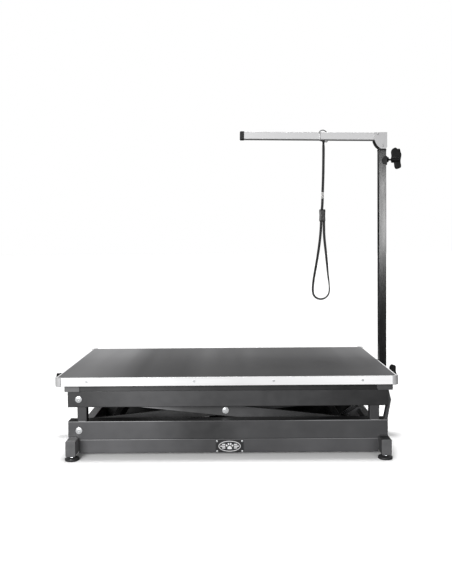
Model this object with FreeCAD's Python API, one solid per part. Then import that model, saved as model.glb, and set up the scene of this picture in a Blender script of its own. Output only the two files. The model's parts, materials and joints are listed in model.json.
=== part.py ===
import FreeCAD, Part
import math, os

# Low scissor-lift grooming table with a clamp-on grooming arm and a noose.
# Millimetres, +Z up, floor at z = 0, long side of the table along X, user side at -Y.
# The model is written with the table top centred on x = 0 and is moved by SHIFT_X on
# export, so that the finished assembly is centred on its own bounding box.

V = FreeCAD.Vector
os.makedirs("parts", exist_ok=True)

# ---------------------------------------------------------------- driving dimensions
SHIFT_X = -7.5                  # centres the bounding box, knobs included
FX = 5.0                        # scissor frame sits this far towards the post end

TOP_L, TOP_W = 1250.0, 650.0    # table top over the edging
TOP_Z = 308.5                   # top of the edging with the table fully down
TRIM_H, TRIM_T = 31.0, 3.0      # edging height and wall
LIP_W, LIP_T = 4.0, 4.5         # edging lip beside the mat, resting on the board
CORNER_R = 19.0                 # edging corner radius
CAP_BULGE = 5.0                 # how far the corner caps stand out
MAT_T = 4.0
BOARD_T = 24.0

SUB_Z0, SUB_Z1 = 250.0, 280.0   # sub-frame under the board
SUB_XL, SUB_XR, SUB_Y = 606.0, 610.0, 295.0
SUB_CROSS_W = 55.0
RAIL_Y0, RAIL_Y1 = 250.0, 290.0

UC_Z0, UC_Z1 = 188.0, 250.0     # upper roller channel
LC_Z0, LC_Z1 = 66.0, 136.0      # lower roller channel
CH_XL, CH_XR = 598.5, 595.0     # reach of both channels to each end
CH_WEB, CH_IN, CH_T = 280.0, 235.0, 4.0

BASE_Z0, BASE_Z1 = 14.0, 66.0   # long base rails
LEG_Z0, LEG_Z1 = 20.5, 76.0     # base cross tubes, a little taller than the rails
LEG_X0, LEG_X1, LEG_Y = 560.0, 596.0, 335.0
BRAIL_Y0, BRAIL_Y1 = 237.0, 277.0
TUBE_WALL = 3.0

STOP_X, STOP_W = 546.4, 35.5
STOP_Y0, STOP_Y1 = 243.0, 277.0
STOP_GAP = 0.3

PIV_X = -552.0                  # fixed pivots at the left end
PIV_ZL, PIV_ZU = 101.0, 219.0
CEN_X, CEN_Z = -4.5, 160.0      # scissor centre with the table down
HALF = math.hypot(CEN_X - PIV_X, CEN_Z - PIV_ZL)
ALPHA = math.degrees(math.atan2(CEN_Z - PIV_ZL, CEN_X - PIV_X))
ROL_X = 2 * CEN_X - PIV_X       # roller axles with the table down
ARM_H, ARM_T = 42.0, 12.0
A_Y0, B_Y0 = 192.0, 214.0       # inner faces of the inner and the outer arms
PIN_R, CEN_R, AXLE_R = 6.0, 8.0, 10.0
FIT = 0.06                      # running clearance on a radius
XT = 30.0                       # square cross tubes between arms
XT_A0, XT_A1 = 120.0, 90.0      # their distance from the ends of the inner arms
XT_B0, XT_B1 = 90.0, 120.0

ROLL_RU, ROLL_RL = 26.4, 30.4   # upper and lower rollers
ROLL_Y0, ROLL_Y1 = 240.0, 268.0

SCREW_Z, SCREW_R = 50.0, 8.0
FOOT_Y = 309.0

POST_X0, POST_A, POST_WALL = 628.8, 30.0, 1.8
POST_Z0, POST_Z1 = 195.3, 1169.0
INNER_A, INNER_Z0, INNER_Z1 = 25.8, 560.0, 1200.0
SOCK_Z0, SOCK_Z1, SOCK_WALL = 192.0, 276.0, 3.5
SOCK_KNOB_Z, ARM_KNOB_Z = 245.0, 1133.0
STUD_R = 4.0

BAR_H, BAR_D, BAR_WALL = 30.0, 36.0, 2.0
BAR_TILT = 1.0                  # degrees up towards the free end
BAR_X0, BAR_X1, BAR_TOPZ = 62.0, 656.0, 1242.0
BAR_REF_X = 604.0

NOOSE_X, STRAP_W, STRAP_T = 405.2, 9.5, 2.5

PX = POST_X0 + POST_A / 2       # post axis


# ---------------------------------------------------------------- helpers
def box(x0, x1, y0, y1, z0, z1):
    x0, x1 = sorted((x0, x1)); y0, y1 = sorted((y0, y1)); z0, z1 = sorted((z0, z1))
    return Part.makeBox(x1 - x0, y1 - y0, z1 - z0, V(x0, y0, z0))


def cyl(r, p0, p1):
    a, b = V(*p0), V(*p1)
    return Part.makeCylinder(r, (b - a).Length, a, b - a)


def hexbar(af, p0, p1):
    """Hexagonal bar, af across flats, between two points."""
    a, b = V(*p0), V(*p1)
    r = af / math.sqrt(3)
    pts = [V(r * math.cos(math.radians(60 * k)), r * math.sin(math.radians(60 * k)), 0) for k in range(7)]
    s = Part.Face(Part.makePolygon(pts)).extrude(V(0, 0, (b - a).Length))
    s.Placement = FreeCAD.Placement(a, FreeCAD.Rotation(V(0, 0, 1), b - a))
    return s


def prism_xz(pts, y0, y1):
    y0, y1 = sorted((y0, y1))
    w = Part.makePolygon([V(x, y0, z) for x, z in pts] + [V(pts[0][0], y0, pts[0][1])])
    return Part.Face(w).extrude(V(0, y1 - y0, 0))


def tube_x(x0, x1, y0, y1, z0, z1, t):
    return box(x0, x1, y0, y1, z0, z1).cut(box(x0 - 1, x1 + 1, min(y0, y1) + t, max(y0, y1) - t, z0 + t, z1 - t))


def tube_y(x0, x1, y0, y1, z0, z1, t):
    return box(x0, x1, y0, y1, z0, z1).cut(box(min(x0, x1) + t, max(x0, x1) - t, y0 - 1, y1 + 1, z0 + t, z1 - t))


def tube_z(cx, cy, a, t, z0, z1):
    h = a / 2
    return box(cx - h, cx + h, cy - h, cy + h, z0, z1).cut(box(cx - h + t, cx + h - t, cy - h + t, cy + h - t, z0 - 1, z1 + 1))


def mir_y(s):
    return s.mirror(V(0, 0, 0), V(0, 1, 0))


def mir_x(s):
    return s.mirror(V(0, 0, 0), V(1, 0, 0))


def soften(s, r, pick):
    es = [e for e in s.Edges if pick(e)]
    try:
        f = s.makeFillet(r, es)
        return f if f.isValid() and f.Solids else s
    except Exception:
        return s


def along(axis):
    """Edges that are straight and parallel to axis."""
    def pick(e):
        if not isinstance(e.Curve, Part.Line):
            return False
        d = e.Curve.Direction
        return abs(abs({"x": d.x, "y": d.y, "z": d.z}[axis]) - 1) < 1e-6
    return pick


def outer_long(s, axis, r):
    """Rounds the four long outer edges of a tube or bar."""
    b = s.BoundBox
    p = along(axis)
    def pick(e):
        if not p(e):
            return False
        m = e.CenterOfMass
        lim = {"x": ((m.y, b.YMin, b.YMax), (m.z, b.ZMin, b.ZMax)),
               "y": ((m.x, b.XMin, b.XMax), (m.z, b.ZMin, b.ZMax)),
               "z": ((m.x, b.XMin, b.XMax), (m.y, b.YMin, b.YMax))}[axis]
        return all(min(abs(v - lo), abs(v - hi)) < 1e-4 for v, lo, hi in lim)
    return soften(s, r, pick)


NODES = {}


def node(name, *shapes):
    sol = []
    for s in shapes:
        for q in (s.Solids if s.Solids else [s]):
            sol.append(q.removeSplitter() if False else q)
    c = sol[0] if len(sol) == 1 else Part.makeCompound(sol)
    c = c.copy()
    c.translate(V(SHIFT_X, 0, 0))
    for q in c.Solids:
        if not q.isValid():
            print("INVALID", name)
        if q.Volume <= 0:
            print("NEGATIVE", name, q.Volume)
    NODES[name] = c
    c.exportStep("parts/%s.step" % name)


# ---------------------------------------------------------------- base
def leg(sign):
    x0, x1 = FX + sign * LEG_X0, FX + sign * LEG_X1
    s = tube_y(x0, x1, -LEG_Y + 3, LEG_Y - 3, LEG_Z0, LEG_Z1, TUBE_WALL)
    s = outer_long(s, "y", 2.5)
    cx = (x0 + x1) / 2
    for y in (-FOOT_Y, FOOT_Y):
        s = s.cut(cyl(5.0 + FIT, (cx, y, LEG_Z0 - 1), (cx, y, LEG_Z0 + TUBE_WALL + 1)))
    return s


node("base_cross_tube_left", leg(-1))
node("base_cross_tube_right", leg(+1))


def leg_cap(sign, side):
    x0, x1 = sorted((FX + sign * LEG_X0, FX + sign * LEG_X1))
    f = box(x0, x1, LEG_Y - 3, LEG_Y, LEG_Z0, LEG_Z1)
    f = outer_long(f, "y", 2.5)
    g = box(x0 + 3.1, x1 - 3.1, LEG_Y - 13, LEG_Y - 3, LEG_Z0 + 3.1, LEG_Z1 - 3.1)
    g = g.cut(box(x0 + 5.5, x1 - 5.5, LEG_Y - 14, LEG_Y - 4.5, LEG_Z0 + 5.5, LEG_Z1 - 5.5))
    s = f.fuse(g)
    return s if side > 0 else mir_y(s)


node("leg_end_caps", *[leg_cap(a, b) for a in (-1, 1) for b in (-1, 1)])

RX0, RX1 = FX - LEG_X0, FX + LEG_X0
brail = outer_long(tube_x(RX0, RX1, -BRAIL_Y1, -BRAIL_Y0, BASE_Z0, BASE_Z1, TUBE_WALL), "x", 2.5)
node("base_rail_front", brail)
node("base_rail_rear", mir_y(brail))


def channel(z0, z1, hole_z):
    x0, x1 = FX - CH_XL, FX + CH_XR
    s = box(x0, x1, -CH_WEB, -CH_IN, z0, z1)
    s = soften(s, 3.0, lambda e: along("x")(e) and abs(e.CenterOfMass.y + CH_WEB) < 1e-4)
    s = s.cut(box(x0 - 1, x1 + 1, -CH_WEB + CH_T, -CH_IN + 1, z0 + CH_T, z1 - CH_T))
    s = s.cut(cyl(PIN_R, (PIV_X, -CH_WEB - 1, hole_z), (PIV_X, -CH_WEB + CH_T + 1, hole_z)))
    return s


lc = channel(LC_Z0, LC_Z1, PIV_ZL)
# coped at both ends so that it stands on the taller cross tubes
lc = lc.cut(box(FX - CH_XL - 5, FX - LEG_X0, -CH_WEB - 5, -CH_IN + 5, LC_Z0 - 5, LEG_Z1))
lc = lc.cut(box(FX + LEG_X0, FX + CH_XR + 5, -CH_WEB - 5, -CH_IN + 5, LC_Z0 - 5, LEG_Z1))
node("lower_channel_front", lc)
node("lower_channel_rear", mir_y(lc))


def stop(sign, side):
    cx = FX + sign * STOP_X
    s = box(cx - STOP_W / 2, cx + STOP_W / 2, STOP_Y0, STOP_Y1, LC_Z1, UC_Z0 - STOP_GAP)
    s = outer_long(s, "z", 3.0)
    return s if side > 0 else mir_y(s)


node("stop_posts", *[stop(a, b) for a in (-1, 1) for b in (-1, 1)])

guard_xz = [(589.0, 136.0), (600.0, 136.0), (613.5, 209.0), (604.4, 247.0),
            (602.2, 247.0), (602.2, 188.0), (598.6, 184.0)]
guard = prism_xz(guard_xz, 247.0, 275.0)
node("end_guards", guard, mir_y(guard))

PLATE_X0, PLATE_X1, PLATE_Z0, PLATE_Z1 = -42.0, 62.0, 14.5, 61.5
plate = box(PLATE_X0, PLATE_X1, -BRAIL_Y1 - 1.2, -BRAIL_Y1, PLATE_Z0, PLATE_Z1)
plate = soften(plate, 3.0, along("y"))
node("nameplate", plate)
RIV = [(x, z) for x in (-37.0, 57.0) for z in (19.0, 57.0)]
node("nameplate_rivets", *[
    Part.makeSphere(5.0, V(x, -BRAIL_Y1 - 1.2 + 3.3, z)).common(
        box(x - 5, x + 5, -BRAIL_Y1 - 5, -BRAIL_Y1 - 1.2, z - 5, z + 5)) for x, z in RIV])


def button_head(r, h, p, d):
    """Domed head with a hexagon recess, its flat side at p, growing along d (+1 or -1 in Y)."""
    x, y, z = p
    q = r - 0.8
    R = (q * q + 1.8 * 1.8) / 3.6
    s = cyl(r, (x, y, z), (x, y + d * (h - 1.8), z))
    s = soften(s, 0.8, lambda e: e.BoundBox.YLength < 1e-6 and abs(e.BoundBox.YMin - y) > 1)
    dome = Part.makeSphere(R, V(x, y + d * (h - R), z)).common(
        box(x - r, x + r, y + d * (h - 1.8), y + d * (h + 1), z - r, z + r))
    s = s.fuse(dome)
    return s.cut(hexbar(r * 0.5, (x, y + d * h * 0.5, z), (x, y + d * (h + 1), z)))


def pivot_bolt(z, arm_y0):
    """Shoulder bolt through the front channel web and an arm, with a nut inside."""
    y_in = arm_y0
    h = button_head(12.5, 6.5, (PIV_X, -CH_WEB, z), -1)
    s = cyl(PIN_R, (PIV_X, -CH_WEB, z), (PIV_X, -y_in + 9.5, z))
    sh = cyl(10.0, (PIV_X, -CH_WEB + CH_T, z), (PIV_X, -(y_in + ARM_T) - 0.4, z))
    nut = hexbar(18.0, (PIV_X, -y_in + 0.5, z), (PIV_X, -y_in + 8.0, z))
    return h.fuse(s).fuse(sh).fuse(nut)


lpb = pivot_bolt(PIV_ZL, A_Y0)
node("lower_pivot_bolts", lpb, mir_y(lpb))

# lift drive: gearmotor on two cross bars, horizontal lead screw, end bearing on the right tube
GB_X1 = 125.0
m1 = box(-50, -10, -BRAIL_Y0, BRAIL_Y0, 18, 30)
m2 = box(72, 112, -BRAIL_Y0, BRAIL_Y0, 18, 30)
br = box(553, FX + LEG_X0, -20, 20, 32, 68).cut(cyl(SCREW_R + FIT, (550, 0, SCREW_Z), (563.5, 0, SCREW_Z)))
node("drive_mounts", m1, m2, soften(br, 3.0, lambda e: along("x")(e) and abs(e.CenterOfMass.y) > 19))
gb = box(60, GB_X1, -42, 42, 30, 118)
gb = soften(gb, 6.0, along("x"))
gb = gb.cut(cyl(SCREW_R + FIT, (105, 0, SCREW_Z), (GB_X1 + 1, 0, SCREW_Z)))
mot = cyl(33, (-62, 0, 82), (61, 0, 82)).fuse(box(-48, -12, -24, 24, 30, 60)).fuse(cyl(24, (-74, 0, 82), (-61, 0, 82)))
node("drive_motor", gb.fuse(mot))
cb = box(-300, -140, 177, BRAIL_Y0, 19, 65)
cb = soften(cb, 4.0, lambda e: along("x")(e) and e.CenterOfMass.y < 180)
gl = [hexbar(16, (-300, 207, z), (-306, 207, z)).fuse(cyl(6.5, (-306, 207, z), (-316, 207, z))).cut(
    cyl(3.6, (-301, 207, z), (-317, 207, z))) for z in (32, 52)]
node("control_box", cb, *gl)

screw = cyl(SCREW_R, (106, 0, SCREW_Z), (563, 0, SCREW_Z))
node("lead_screw", screw)


def foot(sign, side):
    cx, y = FX + sign * (LEG_X0 + LEG_X1) / 2, side * FOOT_Y
    pad = Part.makeCylinder(26.3, 8.0, V(cx, y, 0))
    pad = soften(pad, 2.0, lambda e: e.BoundBox.ZLength < 1e-6 and not isinstance(e.Curve, Part.Line))
    cone = Part.makeCone(21.0, 10.0, 4.5, V(cx, y, 7.5))
    st = cyl(5.0, (cx, y, 9), (cx, y, 52))
    nt = hexbar(16, (cx, y, 11.5), (cx, y, LEG_Z0 - 0.3))
    return pad.fuse(cone).fuse(st).fuse(nt)


for nm, a, b in (("front_left", -1, -1), ("front_right", 1, -1), ("rear_left", -1, 1), ("rear_right", 1, 1)):
    node("levelling_foot_" + nm, foot(a, b))


# ---------------------------------------------------------------- scissor arms
def rot(s, px, pz, deg):
    """Turns s about the line through (px, pz) along -Y, so that +X rises for a positive angle."""
    s = s.copy()
    s.rotate(V(px, 0, pz), V(0, -1, 0), deg)
    return s


def arm_flat(holes):
    """Front arm as a flat bar lying along +X from the origin, holes as (s, radius)."""
    L = 2 * HALF
    s = box(0, L, -ARM_T, 0, -ARM_H / 2, ARM_H / 2)
    s = s.fuse(cyl(ARM_H / 2, (0, -ARM_T, 0), (0, 0, 0))).fuse(cyl(ARM_H / 2, (L, -ARM_T, 0), (L, 0, 0)))
    s = s.removeSplitter()
    for q, r in holes:
        s = s.cut(cyl(r, (q, -ARM_T - 1, 0), (q, 1, 0)))
    return s


a = arm_flat([(0, PIN_R + FIT), (HALF, CEN_R + FIT)])
a.translate(V(PIV_X, -A_Y0, PIV_ZL))
a = rot(a, PIV_X, PIV_ZL, ALPHA)
node("inner_arm_front", a)
node("inner_arm_rear", mir_y(a))

b = arm_flat([(0, PIN_R + FIT)])
b.translate(V(PIV_X, -B_Y0, PIV_ZU))
b = rot(b, PIV_X, PIV_ZU, -ALPHA)
b = b.cut(cyl(CEN_R, (CEN_X, -B_Y0 - ARM_T - 1, CEN_Z), (CEN_X, -B_Y0 + 1, CEN_Z)))
b = b.cut(cyl(AXLE_R, (ROL_X, -B_Y0 - ARM_T - 1, PIV_ZL), (ROL_X, -B_Y0 + 1, PIV_ZL)))
node("outer_arm_front", b)
node("outer_arm_rear", mir_y(b))


def xtube(px, pz, ang, dist, half_y):
    s = tube_y(px + dist - XT / 2, px + dist + XT / 2, -half_y, half_y, pz - XT / 2, pz + XT / 2, 2.5)
    s = outer_long(s, "y", 2.5)
    return rot(s, px, pz, ang)


def stub(x, z, y_from):
    """Stub axle on the front side with a shoulder and a retaining collar."""
    s = cyl(AXLE_R, (x, -y_from, z), (x, -ROLL_Y1 - 3.5, z))
    s = s.fuse(cyl(13.0, (x, -ROLL_Y0 + 0.5, z), (x, -B_Y0 - ARM_T, z)) if y_from > B_Y0 else
               cyl(13.0, (x, -ROLL_Y0 + 0.5, z), (x, -y_from, z)))
    return s.fuse(cyl(12.5, (x, -ROLL_Y1 - 0.5, z), (x, -ROLL_Y1 - 3.5, z)))


st = stub(ROL_X, PIV_ZU, A_Y0 + ARM_T)
node("inner_cross_members",
     xtube(PIV_X, PIV_ZL, ALPHA, XT_A0, A_Y0),
     xtube(PIV_X, PIV_ZL, ALPHA, 2 * HALF - XT_A1, A_Y0),
     st, mir_y(st))

ax = cyl(AXLE_R, (ROL_X, -ROLL_Y1 - 3.5, PIV_ZL), (ROL_X, ROLL_Y1 + 3.5, PIV_ZL))
for sgn in (-1, 1):
    ax = ax.fuse(cyl(13.0, (ROL_X, sgn * (B_Y0 + ARM_T), PIV_ZL), (ROL_X, sgn * (ROLL_Y0 - 0.5), PIV_ZL)))
    ax = ax.fuse(cyl(12.5, (ROL_X, sgn * (ROLL_Y1 + 0.5), PIV_ZL), (ROL_X, sgn * (ROLL_Y1 + 3.5), PIV_ZL)))
node("outer_cross_members",
     xtube(PIV_X, PIV_ZU, -ALPHA, XT_B0, B_Y0),
     xtube(PIV_X, PIV_ZU, -ALPHA, 2 * HALF - XT_B1, B_Y0),
     ax)

ch = button_head(12.5, 6.0, (CEN_X, -B_Y0 - ARM_T, CEN_Z), -1)
cb_ = cyl(CEN_R, (CEN_X, -B_Y0 - ARM_T, CEN_Z), (CEN_X, -A_Y0 + 10.0, CEN_Z))
cs_ = cyl(13.0, (CEN_X, -B_Y0, CEN_Z), (CEN_X, -A_Y0 - ARM_T - 0.4, CEN_Z))
cn_ = hexbar(22.0, (CEN_X, -A_Y0 + 0.5, CEN_Z), (CEN_X, -A_Y0 + 8.5, CEN_Z))
cb_ = ch.fuse(cb_).fuse(cs_).fuse(cn_)
node("centre_bolts", cb_, mir_y(cb_))


def roller(r, z):
    s = cyl(r, (ROL_X, -ROLL_Y1, z), (ROL_X, -ROLL_Y0, z))
    s = soften(s, 1.5, lambda e: e.BoundBox.YLength < 1e-6)
    s = s.cut(cyl(AXLE_R + FIT, (ROL_X, -ROLL_Y1 - 1, z), (ROL_X, -ROLL_Y0 + 1, z)))
    for yy, d in ((-ROLL_Y1, 1), (-ROLL_Y0, -1)):
        g = cyl(r - 5.5, (ROL_X, yy - d, z), (ROL_X, yy + d * 2.0, z)).cut(cyl(14.0, (ROL_X, yy - 2 * d, z), (ROL_X, yy + 3 * d, z)))
        s = s.cut(g)
    return s


ru, rl = roller(ROLL_RU, PIV_ZU), roller(ROLL_RL, PIV_ZL)
node("roller_upper_front", ru)
node("roller_upper_rear", mir_y(ru))
node("roller_lower_front", rl)
node("roller_lower_rear", mir_y(rl))

# nut carriage: a nut block on the lead screw, two cheeks up to the roller axle
nb = box(ROL_X - 70, ROL_X - 35, -22, 22, 30, 72)
ck = [(ROL_X - 70, 36), (ROL_X - 36, 36), (ROL_X + 14, 92), (ROL_X + 14, 110), (ROL_X + 8, 117), (ROL_X - 10, 117), (ROL_X - 70, 72)]
car = nb.fuse(prism_xz(ck, -30, -22)).fuse(prism_xz(ck, 22, 30))
car = car.cut(cyl(SCREW_R + FIT, (ROL_X - 80, 0, SCREW_Z), (ROL_X - 20, 0, SCREW_Z)))
car = car.cut(cyl(AXLE_R + FIT, (ROL_X, -40, PIV_ZL), (ROL_X, 40, PIV_ZL)))
node("drive_carriage", car)

# ---------------------------------------------------------------- table top and its frame
uc = channel(UC_Z0, UC_Z1, PIV_ZU)
node("upper_channel_front", uc)
node("upper_channel_rear", mir_y(uc))
upb = pivot_bolt(PIV_ZU, B_Y0)
node("upper_pivot_bolts", upb, mir_y(upb))


def sub_cross(sign):
    SX = SUB_XR if sign > 0 else SUB_XL
    x0, x1 = sorted((FX + sign * (SX - SUB_CROSS_W), FX + sign * SX))
    t = outer_long(tube_y(x0, x1, -SUB_Y + 3, SUB_Y - 3, SUB_Z0, SUB_Z1, 2.5), "y", 2.0)
    c = outer_long(box(x0, x1, SUB_Y - 3, SUB_Y, SUB_Z0, SUB_Z1), "y", 2.0)
    return [t, c, mir_y(c)]


node("frame_cross_tubes", *(sub_cross(-1) + sub_cross(1)))
fr = outer_long(tube_x(FX - SUB_XL + SUB_CROSS_W, FX + SUB_XR - SUB_CROSS_W, -RAIL_Y1, -RAIL_Y0, SUB_Z0, SUB_Z1, 2.5), "x", 2.0)
node("frame_rails", fr, mir_y(fr))

HX, HY = TOP_L / 2, TOP_W / 2


def rounded(hx, hy, r, z0, z1):
    s = box(-hx, hx, -hy, hy, z0, z1)
    return s.makeFillet(r, [e for e in s.Edges if along("z")(e)])


board = rounded(HX - TRIM_T, HY - TRIM_T, CORNER_R - TRIM_T, SUB_Z1, SUB_Z1 + BOARD_T)
node("tabletop_board", board)
mat = rounded(HX - LIP_W - 0.3, HY - LIP_W - 0.3, CORNER_R - LIP_W - 0.3, SUB_Z1 + BOARD_T, SUB_Z1 + BOARD_T + MAT_T)
node("table_mat", mat)

ring_wall = rounded(HX, HY, CORNER_R, TOP_Z - TRIM_H, TOP_Z).cut(
    rounded(HX - TRIM_T, HY - TRIM_T, CORNER_R - TRIM_T, TOP_Z - TRIM_H - 1, TOP_Z - LIP_T)).cut(
    rounded(HX - LIP_W, HY - LIP_W, CORNER_R - LIP_W, TOP_Z - TRIM_H - 1, TOP_Z + 1))
CX_, CY_ = HX - CORNER_R, HY - CORNER_R
fx_ = ring_wall.common(box(-CX_, CX_, -HY - 1, 0, 0, 400))
sx_ = ring_wall.common(box(0, HX + 1, -CY_, CY_, 0, 400))
node("edge_trims", fx_, mir_y(fx_), sx_, mir_x(sx_))
cc = ring_wall.common(box(CX_, HX + 1, CY_, HY + 1, 0, 400))
bulge = rounded(HX + CAP_BULGE, HY + CAP_BULGE, CORNER_R + CAP_BULGE, TOP_Z - TRIM_H - 1.5, TOP_Z + 1.0).cut(
    rounded(HX, HY, CORNER_R, 0, TOP_Z - 0.01)).cut(
    rounded(HX - LIP_W, HY - LIP_W, CORNER_R - LIP_W, 0, 400))
bulge = bulge.common(box(CX_, HX + 10, CY_, HY + 10, 0, 400))
HB, VB = HX + CAP_BULGE, HY + CAP_BULGE
bulge = soften(bulge, 2.2, lambda e: along("z")(e) and (
    (abs(e.CenterOfMass.x - CX_) < 1e-3 and abs(e.CenterOfMass.y - VB) < 1e-3) or
    (abs(e.CenterOfMass.y - CY_) < 1e-3 and abs(e.CenterOfMass.x - HB) < 1e-3)))
cc = cc.fuse(bulge)
print("cap solids", len(cc.Solids), cc.isValid())
node("corner_caps", cc, mir_x(cc), mir_y(cc), mir_x(mir_y(cc)))


def screw_head(x, y, z, nx, ny):
    s = cyl(4.6, (x, y, z), (x + nx * 2.0, y + ny * 2.0, z))
    s = soften(s, 1.2, lambda e: (e.BoundBox.XLength if nx else e.BoundBox.YLength) < 1e-6 and
               abs((e.BoundBox.XMin - x) if nx else (e.BoundBox.YMin - y)) > 1.0)
    if nx:
        return s.cut(box(x + nx * 1.0, x + nx * 3, y - 3, y + 3, z - 0.6, z + 0.6)).cut(
            box(x + nx * 1.0, x + nx * 3, y - 0.6, y + 0.6, z - 3, z + 3))
    return s.cut(box(x - 3, x + 3, y + ny * 1.0, y + ny * 3, z - 0.6, z + 0.6)).cut(
        box(x - 0.6, x + 0.6, y + ny * 1.0, y + ny * 3, z - 3, z + 3))


TS = []
for xx in (-512.0, -118.0, 173.0, 497.0):
    TS += [screw_head(xx, -HY, 294.0, 0, -1), screw_head(xx, HY, 294.0, 0, 1)]
for yy in (-210.0, 210.0):
    TS += [screw_head(-HX, yy, 294.0, -1, 0), screw_head(HX, yy, 294.0, 1, 0)]
node("trim_screws", *TS)


def socket(sign):
    """Square sleeve for the arm post with a closed bottom, a knob boss and a bracket to the sub-frame."""
    c = 0.3
    a_ = POST_A + 2 * c
    o = a_ / 2 + SOCK_WALL
    s = box(PX - o, PX + o, -o, o, SOCK_Z0, SOCK_Z1)
    s = outer_long(s, "z", 2.5)
    s = s.cut(box(PX - a_ / 2, PX + a_ / 2, -a_ / 2, a_ / 2, SOCK_Z0 + 3.0, SOCK_Z1 + 1))
    s = s.fuse(cyl(11.0, (PX + o - 1, 0, SOCK_KNOB_Z), (PX + o + 3, 0, SOCK_KNOB_Z)))
    s = s.cut(cyl(STUD_R + FIT, (PX + 5, 0, SOCK_KNOB_Z), (PX + o + 10, 0, SOCK_KNOB_Z)))
    inner = FX + SUB_XR if sign > 0 else SUB_XL - FX
    br_ = box(inner, PX - o + 0.5, -30, 30, 252, 275)
    s = s.fuse(br_)
    return s if sign > 0 else mir_x(s)


node("arm_socket_right", socket(1))
node("arm_socket_left", socket(-1))


# ---------------------------------------------------------------- post, arm and knobs
def knob(x_tip, z, x_base, up=0.0, turn=0.0):
    """Wing knob on a threaded stud: x_tip is the stud's end, x_base the knob's inner face."""
    o = [(x_base + 0, 22), (x_base + 1.5, 34), (x_base + 6, 40), (x_base + 19, 43), (x_base + 24, 39), (x_base + 32, 39.5),
         (x_base + 36, 30), (x_base + 40, 16), (x_base + 38, 0), (x_base + 37, -18), (x_base + 37, -38), (x_base + 31, -41),
         (x_base + 19, -42), (x_base + 15.5, -38), (x_base + 12, -20), (x_base + 9, -8), (x_base + 2, 6)]
    pts = [V(p[0], 0, z + up + p[1]) for p in o]
    bs = Part.BSplineCurve()
    bs.interpolate(pts, PeriodicFlag=True)
    f = Part.Face(Part.Wire([bs.toShape()]))
    wing = f.extrude(V(0, 15.0, 0))
    wing.translate(V(0, -7.5, 0))
    wing = soften(wing, 2.5, lambda e: e.BoundBox.YLength < 1e-6)
    hub = cyl(13.0, (x_base + 1, 0, z), (x_base + 30, 0, z))
    s = wing.fuse(hub)
    if turn:
        s.rotate(V(0, 0, z), V(1, 0, 0), turn)
    stud = cyl(STUD_R, (x_tip, 0, z), (x_base + 2, 0, z))
    return s.fuse(stud)


k_arm = knob(PX + POST_A / 2 - 1.8, ARM_KNOB_Z, 683.0, up=4.5)
k_r = knob(PX + POST_A / 2 + 0.3, SOCK_KNOB_Z, 665.7, turn=147.0)
k_l = knob(PX + POST_A / 2 + 0.3, SOCK_KNOB_Z, 668.0, turn=66.0)
node("arm_clamp_knob", k_arm)
node("socket_knob_right", k_r)
node("socket_knob_left", mir_x(k_l))

post = outer_long(tube_z(PX, 0, POST_A, POST_WALL, POST_Z0, POST_Z1), "z", 1.5)
post = post.cut(cyl(STUD_R + FIT, (PX, 0, ARM_KNOB_Z), (PX + 30, 0, ARM_KNOB_Z)))
node("post_tube", post)
IC = POST_A - 2 * POST_WALL
col = outer_long(box(PX - 15.7, PX + 15.7, -15.7, 15.7, POST_Z1, POST_Z1 + 6), "z", 1.5).cut(
    box(PX - IC / 2, PX + IC / 2, -IC / 2, IC / 2, POST_Z1 - 1, POST_Z1 + 7))
node("post_collar", col)

xr = PX + POST_A / 2
SAD_Z = ARM_KNOB_Z - 4.5
PH = POST_A / 2
cheek = cyl(18.0, (xr, PH, SAD_Z), (xr, PH + 3, SAD_Z)).common(box(xr - 20, xr, 10, 20, SAD_Z - 20, SAD_Z + 20))
back = box(xr, xr + 3, -PH - 3, PH + 3, SAD_Z - 18, SAD_Z + 18)
back = soften(back, 6.0, along("x"))
boss = Part.makeCone(13.5, 10.0, 10.0, V(xr + 2, 0, ARM_KNOB_Z), V(1, 0, 0))
sad = back.fuse(cheek).fuse(mir_y(cheek)).fuse(boss).cut(cyl(STUD_R + FIT, (xr - 1, 0, ARM_KNOB_Z), (xr + 20, 0, ARM_KNOB_Z)))
node("clamp_saddle", sad)

RIVET_BAR, RIVET_TUBE, RIVET_R = (622.0, 1236.0), (643.8, 1187.0), 3.0
itube = tube_z(PX, 0, INNER_A, 2.0, INNER_Z0, INNER_Z1)
itube = itube.cut(cyl(RIVET_R, (RIVET_TUBE[0], -30, RIVET_TUBE[1]), (RIVET_TUBE[0], 30, RIVET_TUBE[1])))
node("arm_inner_tube", itube)


def tilt(s):
    """The bar and what sits on it lean up towards the free end."""
    s = s.copy()
    s.rotate(V(BAR_REF_X, 0, BAR_TOPZ), V(0, 1, 0), BAR_TILT)
    return s


bar = outer_long(tube_x(BAR_X0 + 14, BAR_X1, -BAR_D / 2, BAR_D / 2, BAR_TOPZ - BAR_H, BAR_TOPZ, BAR_WALL), "x", 2.0)
bar = tilt(bar)
bar = bar.cut(cyl(RIVET_R, (RIVET_BAR[0], -30, RIVET_BAR[1]), (RIVET_BAR[0], 30, RIVET_BAR[1])))
node("arm_bar", bar)
cap = box(BAR_X0, BAR_X0 + 17, -BAR_D / 2 - 1, BAR_D / 2 + 1, BAR_TOPZ - BAR_H - 1, BAR_TOPZ + 1)
cap = soften(cap, 4.0, lambda e: abs(e.CenterOfMass.x - BAR_X0) < 1e-4)
cap = cap.cut(box(BAR_X0 + 14, BAR_X0 + 18, -BAR_D / 2, BAR_D / 2, BAR_TOPZ - BAR_H, BAR_TOPZ))
node("bar_end_cap", tilt(cap))

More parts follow.
